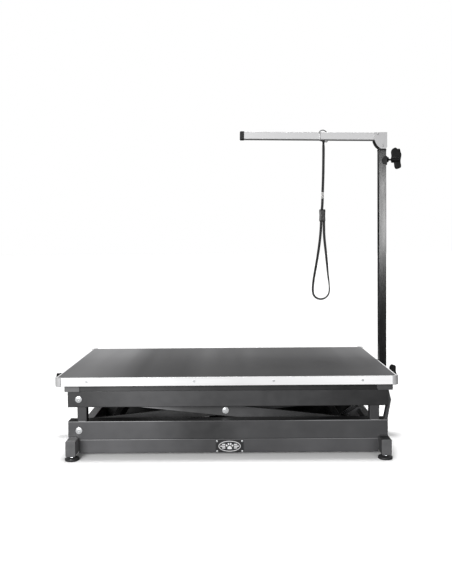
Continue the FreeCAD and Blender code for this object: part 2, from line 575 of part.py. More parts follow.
# corner bracket: two cheeks with a rounded lower corner, a back strip and an under strip bent round that corner
ARC_C, ARC_R, STRIP_T = (661.2, 1221.0), 52.0, 3.0
cheek_o = prism_xz([(609.2, 1170), (661, 1170), (661, 1242), (609.2, 1242)], 18, 21)
round_low = cyl(ARC_R, (ARC_C[0], 10, ARC_C[1]), (ARC_C[0], 30, ARC_C[1]))
cheek_o = cheek_o.common(round_low.fuse(box(609.2, 661, 10, 30, ARC_C[1], 1242)))
cheek_o = cheek_o.cut(box(600, 670, 10, 30, 1160, 1175.5))
cheek_o = cheek_o.cut(prism_xz([(653, 1170), (670, 1170), (670, 1183), (661.5, 1183)], 10, 30))
cheek_o = cheek_o.cut(cyl(RIVET_R, (RIVET_BAR[0], 10, RIVET_BAR[1]), (RIVET_BAR[0], 30, RIVET_BAR[1])))
cheek_o = cheek_o.cut(cyl(RIVET_R, (RIVET_TUBE[0], 10, RIVET_TUBE[1]), (RIVET_TUBE[0], 30, RIVET_TUBE[1])))
backs = box(658, 661, -18, 18, 1183, 1242)
under = cyl(ARC_R, (ARC_C[0], -18, ARC_C[1]), (ARC_C[0], 18, ARC_C[1])).cut(
    cyl(ARC_R - STRIP_T, (ARC_C[0], -19, ARC_C[1]), (ARC_C[0], 19, ARC_C[1])))
under = under.common(box(604, PX - INNER_A / 2 - 0.1, -18, 18, 1176, 1211.2))
node("corner_bracket", cheek_o.fuse(mir_y(cheek_o)).fuse(backs).fuse(under))


def rivet(p):
    s = cyl(RIVET_R, (p[0], -21, p[1]), (p[0], 21, p[1]))
    for d in (-1, 1):
        h = Part.makeSphere(7.0, V(p[0], d * (21 - 5.0), p[1])).common(box(p[0] - 6, p[0] + 6, d * 21, d * 26, p[1] - 6, p[1] + 6))
        s = s.fuse(h)
    return s


node("bracket_rivets", rivet(RIVET_BAR), rivet(RIVET_TUBE))

# ---------------------------------------------------------------- ring and noose
bar_top_here = BAR_TOPZ + (BAR_REF_X - NOOSE_X) * math.tan(math.radians(BAR_TILT))
# closed wire stirrup round the bar: a bowed top that sits on the bar's edges, a straight lower side
RING_r, RING_SKEW = 2.0, 42.0
RW, RS, RB, RT = 27.5, 7.0, 6.0, 48.0   # half width, shoulder, lower corner and top radii of the wire's centre line
RZ0, RZ1 = -35.0, 10.4                  # lower side and crown, from the bar's top
ux, uy = math.sin(math.radians(RING_SKEW)), math.cos(math.radians(RING_SKEW))


def rp(s_, z_):
    return V(NOOSE_X + s_ * ux, s_ * uy, bar_top_here + z_)


c2s = RW - RS
c2z = RZ1 - RT + math.sqrt((RT - RS) ** 2 - c2s ** 2)
tx_, tz_ = c2s / (RT - RS), (c2z - (RZ1 - RT)) / (RT - RS)
tp = (tx_ * RT, RZ1 - RT + tz_ * RT)
sm = math.sqrt(0.5)
am = math.atan2(tz_, tx_) / 2
q45 = (c2s + RS * math.cos(am), c2z + RS * math.sin(am))
lc_ = (RW - RB, RZ0 + RB)
lm = (lc_[0] + RB * sm, lc_[1] - RB * sm)
segs = [Part.makeLine(rp(-lc_[0], RZ0), rp(lc_[0], RZ0)),
        Part.Arc(rp(lc_[0], RZ0), rp(*lm), rp(RW, lc_[1])).toShape(),
        Part.makeLine(rp(RW, lc_[1]), rp(RW, c2z)),
        Part.Arc(rp(RW, c2z), rp(*q45), rp(*tp)).toShape(),
        Part.Arc(rp(*tp), rp(0, RZ1), rp(-tp[0], tp[1])).toShape(),
        Part.Arc(rp(-tp[0], tp[1]), rp(-q45[0], q45[1]), rp(-RW, c2z)).toShape(),
        Part.makeLine(rp(-RW, c2z), rp(-RW, lc_[1])),
        Part.Arc(rp(-RW, lc_[1]), rp(-lm[0], lm[1]), rp(-lc_[0], RZ0)).toShape()]
rw_ = Part.Wire(segs)
circ = Part.Wire([Part.makeCircle(RING_r, rp(-lc_[0], RZ0), V(ux, uy, 0))])
mk = Part.BRepOffsetAPI.MakePipeShell(rw_)
mk.setBiNormalMode(V(uy, -ux, 0))
mk.add(circ, False, False)
mk.build()
mk.makeSolid()
ring = mk.shape()
ring = ring.Solids[0] if ring.Solids else Part.Solid(ring)
if ring.Volume < 0:
    ring.reverse()
print("ring valid %s volume ratio %.4f" % (ring.isValid(), ring.Volume / (rw_.Length * math.pi * RING_r ** 2)))
node("noose_ring", ring)
RING_BOT = bar_top_here + RZ0 - RING_r
print("ring bottom %.2f  gap to bar %.3f" % (RING_BOT, ring.distToShape(bar)[0]))


def band_route(pts):
    """Straight runs joined by tangent arcs, in the XZ plane. Returns the wire, its length and the radii."""
    P = [V(x, 0, z) for x, z in pts]
    L = [(P[i + 1] - P[i]).Length for i in range(len(P) - 1)]
    edges, radii, total = [], [], 0.0
    start = P[0]
    for i in range(1, len(P) - 1):
        u = (P[i] - P[i - 1]); u.normalize()
        v = (P[i + 1] - P[i]); v.normalize()
        turn = math.acos(max(-1, min(1, u.dot(v))))
        t = 0.45 * min(L[i - 1], L[i])
        r = t / math.tan(turn / 2)
        radii.append(r)
        a_, b_ = P[i] - u * t, P[i] + v * t
        w = (v - u); w.normalize()
        cen = P[i] + w * (r / math.cos(turn / 2))
        mid = cen - w * r
        edges.append(Part.makeLine(start, a_))
        edges.append(Part.Arc(a_, mid, b_).toShape())
        start = b_
    edges.append(Part.makeLine(start, P[-1]))
    w = Part.Wire(edges)
    return w, w.Length, radii


def band(pts, name):
    w, length, radii = band_route(pts)
    d = (V(pts[1][0], 0, pts[1][1]) - V(pts[0][0], 0, pts[0][1])); d.normalize()
    side = d.cross(V(0, 1, 0)); side.normalize()
    o = V(pts[0][0], 0, pts[0][1])
    c = [o + side * (sx * STRAP_W / 2) + V(0, sy * STRAP_T / 2, 0) for sx, sy in ((-1, -1), (1, -1), (1, 1), (-1, 1))]
    prof = Part.makePolygon(c + [c[0]])
    mk = Part.BRepOffsetAPI.MakePipeShell(w)
    mk.setBiNormalMode(V(0, 1, 0))
    mk.add(prof, False, False)
    mk.build()
    mk.makeSolid()
    s = mk.shape()
    s = s.Solids[0] if s.Solids else Part.Solid(s)
    if s.Volume < 0:
        s.reverse()
    print("%s length %.1f min radius %.1f radii %s volume ratio %.4f" % (
        name, length, min(radii), [round(r) for r in radii], s.Volume / (length * STRAP_W * STRAP_T)))
    return s


STRAP_PTS = [(405.6, RING_BOT - 5.0), (404.6, 1136.0), (403.6, 1068.0), (400.9, 1003.4)]
node("noose_strap", band(STRAP_PTS, "strap"))
clip = box(394.6, 406.2, -3.2, 3.2, 975.9, 1003.4)
clip = soften(clip, 2.0, lambda e: abs(e.CenterOfMass.y) > 3.1)
node("noose_clip", clip)
LOOP_PTS = [(400.2, 975.9), (399.4, 945.0), (395.0, 912.0), (394.2, 872.0), (391.2, 826.0), (384.4, 772.0),
            (375.4, 716.0), (365.6, 664.0), (359.0, 622.0), (358.0, 584.2), (370.8, 566.5), (391.5, 559.8),
            (412.2, 566.5), (426.4, 584.2), (427.2, 618.0), (421.2, 662.0), (417.2, 712.0), (411.8, 768.0),
            (406.2, 820.0), (405.4, 868.0), (405.0, 900.0)]
node("noose_loop", band(LOOP_PTS, "loop"))
sl = box(386.2, 412.0, -5.5, 5.5, 882.0, 932.0)
sl = soften(sl, 2.0, lambda e: abs(e.CenterOfMass.y) > 5.4 or along("y")(e))
sl = sl.cut(box(388.0, 410.2, -1.7, 1.7, 880.0, 934.0))
node("noose_slider", sl)

# ---------------------------------------------------------------- summary
allb = FreeCAD.BoundBox()
for k, s in NODES.items():
    if k not in ("noose_strap", "noose_loop", "noose_clip", "noose_slider"):
        allb.add(s.BoundBox)
print("nodes", len(NODES), "box", [round(v, 2) for v in (allb.XMin, allb.XMax, allb.YMin, allb.YMax, allb.ZMin, allb.ZMax)])
print("half arm %.3f alpha %.4f" % (HALF, ALPHA))
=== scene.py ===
import bpy, bmesh, math, json, random
from mathutils import Vector, Matrix


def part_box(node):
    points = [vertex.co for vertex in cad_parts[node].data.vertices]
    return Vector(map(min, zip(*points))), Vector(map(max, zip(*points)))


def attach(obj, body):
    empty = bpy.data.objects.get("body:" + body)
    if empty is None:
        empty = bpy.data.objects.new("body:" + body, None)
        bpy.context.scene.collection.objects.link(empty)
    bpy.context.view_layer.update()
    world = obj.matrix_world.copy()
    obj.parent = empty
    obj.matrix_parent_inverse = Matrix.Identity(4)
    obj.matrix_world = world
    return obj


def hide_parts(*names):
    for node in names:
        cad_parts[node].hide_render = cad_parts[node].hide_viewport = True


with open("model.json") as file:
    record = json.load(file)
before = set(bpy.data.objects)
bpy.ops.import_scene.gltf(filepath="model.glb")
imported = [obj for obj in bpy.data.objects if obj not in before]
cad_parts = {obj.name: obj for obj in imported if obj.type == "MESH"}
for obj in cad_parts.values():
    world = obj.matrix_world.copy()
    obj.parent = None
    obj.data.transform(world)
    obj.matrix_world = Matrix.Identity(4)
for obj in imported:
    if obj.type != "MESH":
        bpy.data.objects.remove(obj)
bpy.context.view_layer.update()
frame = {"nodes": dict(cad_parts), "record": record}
NODES = frame["nodes"]
SC = bpy.context.scene
SC.view_settings.view_transform = "Standard"
SC.view_settings.look = "None"


# ------------------------------------------------------------------ camera
def make_camera():
    yaw, pitch, roll = math.radians(0.546), math.radians(1.941), math.radians(-0.530)
    c, s, cp, sp = math.cos(yaw), math.sin(yaw), math.cos(pitch), math.sin(pitch)
    r0, f, u0 = Vector((c, s, 0)), Vector((-s * cp, c * cp, -sp)), Vector((-s * sp, c * sp, cp))
    r = math.cos(roll) * r0 + math.sin(roll) * u0
    u = -math.sin(roll) * r0 + math.cos(roll) * u0
    at = Vector((0.0174, -2.6361, 0.7988))
    cam = bpy.data.objects.new("camera", bpy.data.cameras.new("camera"))
    SC.collection.objects.link(cam)
    cam.matrix_world = Matrix(((r.x, u.x, -f.x, at.x), (r.y, u.y, -f.y, at.y), (r.z, u.z, -f.z, at.z), (0, 0, 0, 1)))
    d = cam.data
    d.sensor_fit, d.sensor_height, d.sensor_width = "VERTICAL", 36.0, 36.0
    d.lens = 637.2 * 36.0 / 584.0
    d.shift_x, d.shift_y = 0.09 / 584.0, -27.83 / 584.0
    d.clip_start, d.clip_end = 0.05, 200.0
    SC.camera = cam


make_camera()


# ------------------------------------------------------------------ small helpers
def link(ob):
    SC.collection.objects.link(ob)
    return ob


def mesh_object(name, bm, body, material, smooth=35.0):
    me = bpy.data.meshes.new(name)
    bmesh.ops.recalc_face_normals(bm, faces=bm.faces)
    if smooth:
        for f in bm.faces:
            f.smooth = True
        lim = math.radians(smooth)
        for e in bm.edges:
            e.smooth = len(e.link_faces) == 2 and e.calc_face_angle(0.0) < lim
    bm.to_mesh(me)
    bm.free()
    ob = link(bpy.data.objects.new(name, me))
    me.materials.append(material)
    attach(ob, body)
    return ob


def ring_loft(bm, rings, closed_ring=True, cap=True, uv=None):
    """Skins a list of point rings. uv is a list of (u values, v values) per ring."""
    vs = [[bm.verts.new(p) for p in r] for r in rings]
    lay = bm.loops.layers.uv.verify() if uv else None
    n = len(vs[0])
    last = n if closed_ring else n - 1
    for i in range(len(vs) - 1):
        for j in range(last):
            k = (j + 1) % n
            f = bm.faces.new((vs[i][j], vs[i][k], vs[i + 1][k], vs[i + 1][j]))
            if uv:
                us, across = uv
                a = [(us[i], across[j]), (us[i], across[j + 1]), (us[i + 1], across[j + 1]), (us[i + 1], across[j])]
                for l, t in zip(f.loops, a):
                    l[lay].uv = t
    if cap and closed_ring:
        bm.faces.new(list(reversed(vs[0])))
        bm.faces.new(vs[-1])
    return vs


def join_box(bm, lo, hi, bevel=0.0, seg=2):
    g = bmesh.ops.create_cube(bm, size=1.0)["verts"]
    lo, hi = Vector(lo), Vector(hi)
    for v in g:
        v.co = Vector((lo[i] + (v.co[i] + 0.5) * (hi[i] - lo[i]) for i in range(3)))
    if bevel:
        es = list({e for v in g for e in v.link_edges})
        bmesh.ops.bevel(bm, geom=es, offset=bevel, segments=seg, profile=0.6, affect="EDGES")


# ------------------------------------------------------------------ materials
class Mat:
    """A procedural material: a Principled shader and short ways to feed it."""

    def __init__(self, name, color=(0.5, 0.5, 0.5), rough=0.5, metal=0.0, **sockets):
        self.m = bpy.data.materials.new(name)
        self.m.use_nodes = True
        self.t = self.m.node_tree
        self.t.nodes.clear()
        out = self.t.nodes.new("ShaderNodeOutputMaterial")
        self.b = self.t.nodes.new("ShaderNodeBsdfPrincipled")
        self.t.links.new(self.b.outputs[0], out.inputs[0])
        self.b.inputs["Base Color"].default_value = (*color, 1)
        self.b.inputs["Roughness"].default_value = rough
        self.b.inputs["Metallic"].default_value = metal
        for k, v in sockets.items():
            self.b.inputs[k.replace("_", " ")].default_value = v
        self.m.diffuse_color = (*color, 1)

    def new(self, kind, **props):
        n = self.t.nodes.new("ShaderNode" + kind)
        for k, v in props.items():
            setattr(n, k, v)
        return n

    def wire(self, a, b):
        self.t.links.new(a, b)
        return self

    def obj(self, scale=(1, 1, 1), rot=(0, 0, 0), uv=False):
        c = self.new("TexCoord")
        m = self.new("Mapping")
        m.inputs["Scale"].default_value = scale
        m.inputs["Rotation"].default_value = rot
        self.wire(c.outputs["UV" if uv else "Object"], m.inputs["Vector"])
        return m.outputs[0]

    def noise(self, scale, detail=4.0, rough=0.55, vec=None, distortion=0.0):
        n = self.new("TexNoise")
        n.inputs["Scale"].default_value = scale
        n.inputs["Detail"].default_value = detail
        n.inputs["Roughness"].default_value = rough
        n.inputs["Distortion"].default_value = distortion
        self.wire(vec or self.obj(), n.inputs["Vector"])
        return n.outputs["Fac"]

    def voronoi(self, scale, vec=None, feature="F1", out="Distance"):
        n = self.new("TexVoronoi", feature=feature)
        n.inputs["Scale"].default_value = scale
        self.wire(vec or self.obj(), n.inputs["Vector"])
        return n.outputs[out]

    def wave(self, scale, direction="X", vec=None, distortion=0.0, profile="SIN", kind="BANDS", detail=2.0):
        n = self.new("TexWave", wave_type=kind, wave_profile=profile)
        if kind == "BANDS":
            n.bands_direction = direction
        else:
            n.rings_direction = direction
        n.inputs["Scale"].default_value = scale
        n.inputs["Distortion"].default_value = distortion
        n.inputs["Detail"].default_value = detail
        self.wire(vec or self.obj(), n.inputs["Vector"])
        return n.outputs["Fac"]

    def span(self, fac, a, b, lo=0.0, hi=1.0):
        """fac from lo..hi becomes a..b."""
        n = self.new("MapRange")
        for k, v in zip(("From Min", "From Max", "To Min", "To Max"), (lo, hi, a, b)):
            n.inputs[k].default_value = v
        self.wire(fac, n.inputs["Value"])
        return n.outputs[0]

    def math(self, op, a, b=None):
        n = self.new("Math", operation=op)
        for i, v in enumerate((a, b)):
            if v is None:
                continue
            if isinstance(v, (int, float)):
                n.inputs[i].default_value = v
            else:
                self.wire(v, n.inputs[i])
        return n.outputs[0]

    def ramp(self, fac, stops, mode="LINEAR"):
        n = self.new("ValToRGB")
        n.color_ramp.interpolation = mode
        e = n.color_ramp.elements
        while len(e) > len(stops):
            e.remove(e[-1])
        while len(e) < len(stops):
            e.new(0.5)
        for el, (p, c) in zip(e, stops):
            el.position = p
            el.color = (*c, 1) if len(c) == 3 else c
        self.wire(fac, n.inputs[0])
        return n.outputs[0]

    def mix(self, fac, a, b):
        n = self.new("Mix", data_type="RGBA")
        for sock, v in ((0, fac), (6, a), (7, b)):
            if isinstance(v, (int, float)):
                n.inputs[sock].default_value = v
            elif isinstance(v, tuple):
                n.inputs[sock].default_value = (*v, 1)
            else:
                self.wire(v, n.inputs[sock])
        return n.outputs[2]

    def mixv(self, fac, a, b):
        n = self.new("Mix", data_type="FLOAT")
        for sock, v in ((0, fac), (2, a), (3, b)):
            if isinstance(v, (int, float)):
                n.inputs[sock].default_value = v
            else:
                self.wire(v, n.inputs[sock])
        return n.outputs[0]

    def bump(self, height, strength=0.3, distance=0.0005, below=None):
        n = self.new("Bump")
        n.inputs["Strength"].default_value = strength
        n.inputs["Distance"].default_value = distance
        self.wire(height, n.inputs["Height"])
        if below is not None:
            self.wire(below, n.inputs["Normal"])
        return n.outputs[0]

    def round_edges(self, radius=0.0008):
        n = self.new("Bevel", samples=4)
        n.inputs["Radius"].default_value = radius
        return n.outputs[0]

    def edge_mask(self, radius=0.0015, gain=4.0):
        """1 along sharp edges, 0 on the flats."""
        b = self.new("Bevel", samples=4)
        b.inputs["Radius"].default_value = radius
        g = self.new("NewGeometry")
        d = self.new("VectorMath", operation="DOT_PRODUCT")
        self.wire(b.outputs[0], d.inputs[0])
        self.wire(g.outputs["Normal"], d.inputs[1])
        return self.math("MINIMUM", self.math("MULTIPLY", self.math("SUBTRACT", 1.0, d.outputs["Value"]), gain), 1.0)

    def axis(self, which):
        s = self.new("SeparateXYZ")
        self.wire(self.obj(), s.inputs[0])
        return s.outputs[which]

    def normal(self, which):
        g = self.new("NewGeometry")
        s = self.new("SeparateXYZ")
        self.wire(g.outputs["Normal"], s.inputs[0])
        return s.outputs[which]

    def along(self, tone, stops, which="X", lo=-0.65, hi=0.65):
        """tone times a value that changes along one axis of the object."""
        d = self.ramp(self.span(self.axis(which), 0.0, 1.0, lo, hi), [((q - lo) / (hi - lo), (v, v, v)) for q, v in stops])
        n = self.new("Mix", data_type="RGBA", blend_type="MULTIPLY")
        n.inputs[0].default_value = 1.0
        self.wire(tone, n.inputs[6])
        self.wire(d, n.inputs[7])
        return n.outputs[2]

    def color(self, v):
        return self.wire(v, self.b.inputs["Base Color"])

    def rough(self, v):
        return self.wire(v, self.b.inputs["Roughness"])

    def norm(self, v):
        return self.wire(v, self.b.inputs["Normal"])


def powder(name, base, lift, rough, worn, grain=900.0, edge=0.0012, bump=0.25, light_and_shade_along_x=None, lip=None, thin=False):
    """Powder coat: fine orange peel, faint handling marks, worn and lighter along the sharp edges; optional painted
    light and shade along X, a painted highlight along a top edge with painted shade on upward faces, and painted shade
    on the rear members' hollow side.
    """
    k = Mat(name, base, rough, 0.0, Specular_IOR_Level=0.5)
    cloud = k.noise(5.0, 3.0)
    marks = k.noise(70.0, 6.0, 0.7, k.obj((1, 1, 3.0)))
    tone = k.mix(k.span(cloud, 0.0, 1.0, 0.3, 0.7), tuple(c * 0.86 for c in base), tuple(c * 1.16 for c in base))
    tone = k.mix(k.span(marks, 0.0, 0.30, 0.58, 0.80), tone, lift)
    # painted light and shade: the tone is scaled along X by the given table
    if light_and_shade_along_x:
        tone = k.along(tone, light_and_shade_along_x)
    e = k.math("MULTIPLY", k.edge_mask(edge), k.span(k.noise(150.0, 3.0), 0.15, 1.0, 0.35, 0.65))
    if lip:  # painted highlight along the top front edge and painted shade on the upward faces, tone matched to one viewpoint
        z0, z1, stops, highlight_tone = lip
        edge_highlight = k.math("MULTIPLY", k.math("GREATER_THAN", k.axis("Z"), z0), k.math("LESS_THAN", k.axis("Z"), z1))
        up = k.math("GREATER_THAN", k.normal("Z"), 0.6)
        edge_highlight = k.math("MULTIPLY", edge_highlight, k.math("SUBTRACT", 1.0, up))
        # painted shade: upward faces made near black
        tone = k.mix(up, tone, (0.012, 0.012, 0.0125))
        sep = k.new("SeparateColor")
        k.wire(k.along(k.mix(1.0, (1.0, 1.0, 1.0), (1.0, 1.0, 1.0)), stops), sep.inputs[0])
        # painted highlight band along the edge, its strength set along X
        tone = k.mix(k.math("MULTIPLY", edge_highlight, sep.outputs[0]), tone, highlight_tone)
    if thin:  # painted shade on the rear members' hollow side (faces towards -Y), tone matched to one viewpoint
        tone = k.mix(k.math("LESS_THAN", k.normal("Y"), -0.5), tone, (0.006, 0.006, 0.0063))
        e = k.math("MULTIPLY", e, k.math("GREATER_THAN", k.normal("Y"), -0.5))
    k.color(k.mix(e, tone, worn))
    k.rough(k.span(k.noise(26.0, 5.0, 0.6), rough - 0.06, rough + 0.08, 0.3, 0.7))
    peel = k.noise(grain, 2.0, 0.5)
    k.norm(k.bump(peel, bump, 0.00012, k.round_edges(0.0009)))
    return k.m


def moulded(name, base, rough, lift, grain=1400.0, bump=0.3, spec=0.45):
    """Moulded plastic with a fine eroded texture and slightly polished edges."""
    k = Mat(name, base, rough, 0.0, Specular_IOR_Level=spec)
    tone = k.mix(k.span(k.noise(30.0, 4.0), 0.0, 1.0, 0.3, 0.7), tuple(c * 0.85 for c in base), tuple(c * 1.15 for c in base))
    k.color(k.mix(k.math("MULTIPLY", k.edge_mask(0.0012), 0.6), tone, lift))
    k.rough(k.span(k.noise(90.0, 4.0), rough - 0.08, rough + 0.08, 0.3, 0.7))
    k.norm(k.bump(k.voronoi(grain), bump, 0.00015, k.round_edges(0.0007)))
    return k.m


def bright(name, base, rough, scratch=(1, 1, 1), amount=0.12, bump=0.1, edge=True, metal=1.0, light_and_shade_along_x=None):
    """Bare or plated metal with a brushed grain; optional painted light and shade along X."""
    k = Mat(name, base, rough, metal)
    grain = k.noise(240.0, 6.0, 0.7, k.obj(scratch))
    tone = k.mix(k.span(grain, 0.0, 1.0, 0.3, 0.7), tuple(c * (1 - amount) for c in base), tuple(min(1.0, c * (1 + amount * 0.5)) for c in base))
    k.color(k.along(tone, light_and_shade_along_x) if light_and_shade_along_x else tone)
    k.rough(k.span(k.noise(60.0, 5.0, 0.6, k.obj(scratch)), max(0.05, rough - 0.08), rough + 0.1, 0.3, 0.7))
    k.norm(k.bump(grain, bump, 0.00006, k.round_edges(0.0006) if edge else None))
    return k.m


def ring_metal():
    """Polished wire with painted light and shade by height, matched to one viewpoint: lighter in a band, darker above
    and below it.
    """
    k = Mat("ring_chrome", (0.3, 0.3, 0.3), 0.25, 0.5)
    tone = k.mix(k.noise(300.0, 3.0), (0.55, 0.55, 0.555), (0.63, 0.63, 0.635))
    # painted light and shade: tone scaled with height
    k.color(k.along(tone, [(1.20, 0.35), (1.2125, 0.45), (1.2155, 1.0), (1.2405, 1.0), (1.2435, 0.20), (1.27, 0.16)], "Z", 1.20, 1.27))
    k.rough(k.span(k.noise(120.0, 3.0), 0.22, 0.34, 0.3, 0.7))
    k.norm(k.bump(k.noise(700.0, 2.0), 0.05, 0.00005))
    return k.m


# painted light and shade: tone multipliers along X for each group of members, lighter where light falls on them and
# darker where they are shaded
UPPER = [(-0.62, 0.36), (-0.54, 0.46), (-0.44, 0.74), (-0.36, 0.86), (-0.24, 0.82), (-0.10, 0.66), (0.15, 0.56), (0.32, 0.48), (0.45, 0.32), (0.60, 0.26)]
LOWER = [(-0.62, 1.0), (-0.50, 1.22), (-0.30, 1.14), (-0.20, 0.76), (-0.12, 0.46), (-0.04, 0.50), (0.06, 0.72), (0.30, 0.74), (0.45, 0.84), (0.60, 0.66)]
RAIL = [(-0.62, 1.10), (-0.50, 1.45), (-0.40, 1.48), (-0.24, 1.12), (-0.08, 0.82), (0.10, 0.86), (0.30, 1.10), (0.50, 1.10), (0.60, 0.60)]
SUBS = [(-0.62, 0.26), (-0.50, 0.32), (-0.40, 0.48), (-0.34, 0.40), (-0.24, 0.29), (-0.08, 0.20), (0.05, 0.14), (0.25, 0.18), (0.42, 0.08), (0.60, 0.06)]
TONE, LIFTED, WORN = (0.070, 0.070, 0.073), (0.108, 0.108, 0.112), (0.21, 0.21, 0.215)
# lip: a painted highlight on the lower channel's top front edge and painted shade on upward faces
FRAME_PAINT = powder("frame_paint", TONE, LIFTED, 0.40, WORN, light_and_shade_along_x=LOWER,
                     lip=(0.1328, 0.1365, [(-0.62, 0.5), (-0.54, 1.0), (-0.28, 1.0), (-0.20, 0.1), (0.20, 0.1), (0.34, 0.9), (0.62, 1.0)], (0.24, 0.24, 0.245)))
UPPER_PAINT = powder("upper_paint", TONE, LIFTED, 0.40, WORN, light_and_shade_along_x=UPPER)
# painted shade on the rear members' hollow side
REAR_PAINT = powder("rear_paint", TONE, LIFTED, 0.40, WORN, thin=True)
# lip: a painted highlight on the base rail's top front edge and painted shade on upward faces
RAIL_PAINT = powder("rail_paint", TONE, LIFTED, 0.40, WORN, light_and_shade_along_x=RAIL,
                    lip=(0.0636, 0.0665, [(-0.62, 1.0), (-0.28, 1.0), (-0.15, 0.1), (0.20, 0.1), (0.36, 0.6), (0.62, 0.8)], (0.26, 0.26, 0.265)))
SUB_PAINT = powder("sub_paint", (0.105, 0.105, 0.109), (0.145, 0.145, 0.15), 0.40, WORN, light_and_shade_along_x=SUBS)
# the arms' table paints light on their left part and shade towards the right
ARM_PAINT = powder("arm_paint", (0.060, 0.060, 0.062), (0.09, 0.09, 0.093), 0.40, (0.22, 0.22, 0.225), light_and_shade_along_x=[(-0.6, 0.05), (-0.46, 0.08), (-0.40, 2.0), (-0.32, 5.5), (-0.25, 2.4), (-0.17, 0.95), (-0.1, 0.80), (0.05, 0.85), (0.12, 0.68), (0.2, 0.45), (0.3, 0.15), (0.6, 0.1)])
# painted light: the left base cross tube in a lighter copy of the frame paint
LIT_LEFT_TUBE = powder("left_tube_painted_light", (0.26, 0.26, 0.265), (0.32, 0.32, 0.325), 0.44, (0.40, 0.40, 0.405))
STOP_PAINT = powder("stop_paint", (0.040, 0.040, 0.042), (0.07, 0.07, 0.072), 0.42, (0.15, 0.15, 0.155))
SCISSOR_PAINT = powder("scissor_paint", (0.006, 0.006, 0.0065), (0.014, 0.014, 0.0145), 0.42, (0.05, 0.05, 0.05))
LEG_CAP = moulded("leg_cap_plastic", (0.105, 0.105, 0.108), 0.42, (0.22, 0.22, 0.225))
BLACK = moulded("black_plastic", (0.008, 0.008, 0.0085), 0.42, (0.04, 0.04, 0.042), spec=0.25)
SLIDER = moulded("slider_plastic", (0.012, 0.012, 0.012), 0.40, (0.05, 0.05, 0.05))
ZINC = bright("zinc_steel", (0.62, 0.63, 0.64), 0.28, (1, 1, 1), 0.10, metal=0.35)
SCREW = bright("screw_steel", (0.42, 0.41, 0.40), 0.30, (0.2, 1, 1), 0.25, 0.3, metal=0.45)
# painted light and shade: the edging's tone is scaled along X
ALU = bright("edge_aluminium", (0.88, 0.88, 0.885), 0.34, (0.04, 0.04, 3.0), 0.04, 0.10, metal=0.15,
             light_and_shade_along_x=[(-0.65, 1.0), (-0.30, 1.0), (-0.18, 0.88), (0.05, 0.85), (0.30, 0.98), (0.48, 1.10), (0.65, 1.10)])
CHROME = ring_metal()
NICKEL = bright("clip_metal", (0.40, 0.395, 0.39), 0.30, (3, 3, 0.3), 0.10, 0.12, metal=0.4)
MARK = bright("plate_mark", (0.80, 0.80, 0.81), 0.34, (1, 1, 1), 0.06, metal=0.1)


def casting():
    k = Mat("motor_casting", (0.33, 0.33, 0.34), 0.5, 0.85)
    g = k.noise(420.0, 5.0, 0.6)
    k.color(k.mix(k.span(k.noise(14.0, 4.0), 0.0, 1.0, 0.3, 0.7), (0.10, 0.10, 0.104), (0.17, 0.17, 0.174)))
    k.rough(k.span(k.noise(120.0, 3.0), 0.42, 0.6, 0.3, 0.7))
    k.norm(k.bump(g, 0.45, 0.0003, k.round_edges(0.001)))
    return k.m


def plate():
    k = Mat("plate_metal", (0.022, 0.022, 0.024), 0.34, 0.0, Coat_Weight=0.3, Coat_Roughness=0.2)
    k.color(k.mix(k.span(k.noise(180.0, 5.0, 0.7, k.obj((0.1, 1, 3))), 0.0, 1.0, 0.3, 0.7), (0.016, 0.016, 0.017), (0.034, 0.034, 0.036)))
    k.rough(k.span(k.noise(60.0, 4.0), 0.28, 0.42, 0.3, 0.7))
    k.norm(k.bump(k.noise(700.0, 3.0, 0.5, k.obj((0.15, 1, 2))), 0.12, 0.00008, k.round_edges(0.0005)))
    return k.m


def nylon():
    k = Mat("roller_nylon", (0.07, 0.07, 0.072), 0.42)
    k.color(k.mix(k.span(k.noise(50.0, 4.0), 0.0, 1.0, 0.3, 0.7), (0.052, 0.052, 0.054), (0.09, 0.09, 0.092)))
    k.rough(k.span(k.noise(200.0, 4.0, 0.6, k.obj((1, 6, 1))), 0.34, 0.5, 0.3, 0.7))
    k.norm(k.bump(k.noise(300.0, 3.0, 0.5, k.obj((1, 8, 1))), 0.2, 0.0001, k.round_edges(0.0008)))
    return k.m


def plywood():
    k = Mat("board_wood", (0.45, 0.32, 0.2), 0.6)
    side = k.math("LESS_THAN", k.math("ABSOLUTE", k.normal("Z")), 0.5)
    ply = k.ramp(k.math("FRACT", k.math("MULTIPLY", k.math("SUBTRACT", k.axis("Z"), 0.280), 1.0 / 0.0069)),
                 [(0.0, (0.20, 0.125, 0.07)), (0.08, (0.33, 0.22, 0.13)), (0.5, (0.47, 0.34, 0.21)), (0.92, (0.40, 0.28, 0.17)), (1.0, (0.18, 0.11, 0.06))])
    fine = k.noise(160.0, 6.0, 0.7, k.obj((0.25, 1, 1)))
    rings = k.wave(9.0, "Y", k.obj((0.12, 1, 1)), 6.0, detail=4.0)
    face = k.mix(rings, (0.40, 0.27, 0.16), (0.52, 0.38, 0.24))
    face = k.mix(k.span(fine, 0.0, 0.6, 0.4, 0.75), face, (0.30, 0.19, 0.11))
    k.color(k.mix(side, face, k.mix(k.span(fine, 0.0, 0.5, 0.4, 0.7), ply, (0.24, 0.15, 0.09))))
    k.rough(k.span(fine, 0.5, 0.72, 0.3, 0.7))
    k.norm(k.bump(fine, 0.3, 0.0003, k.round_edges(0.0008)))
    return k.m


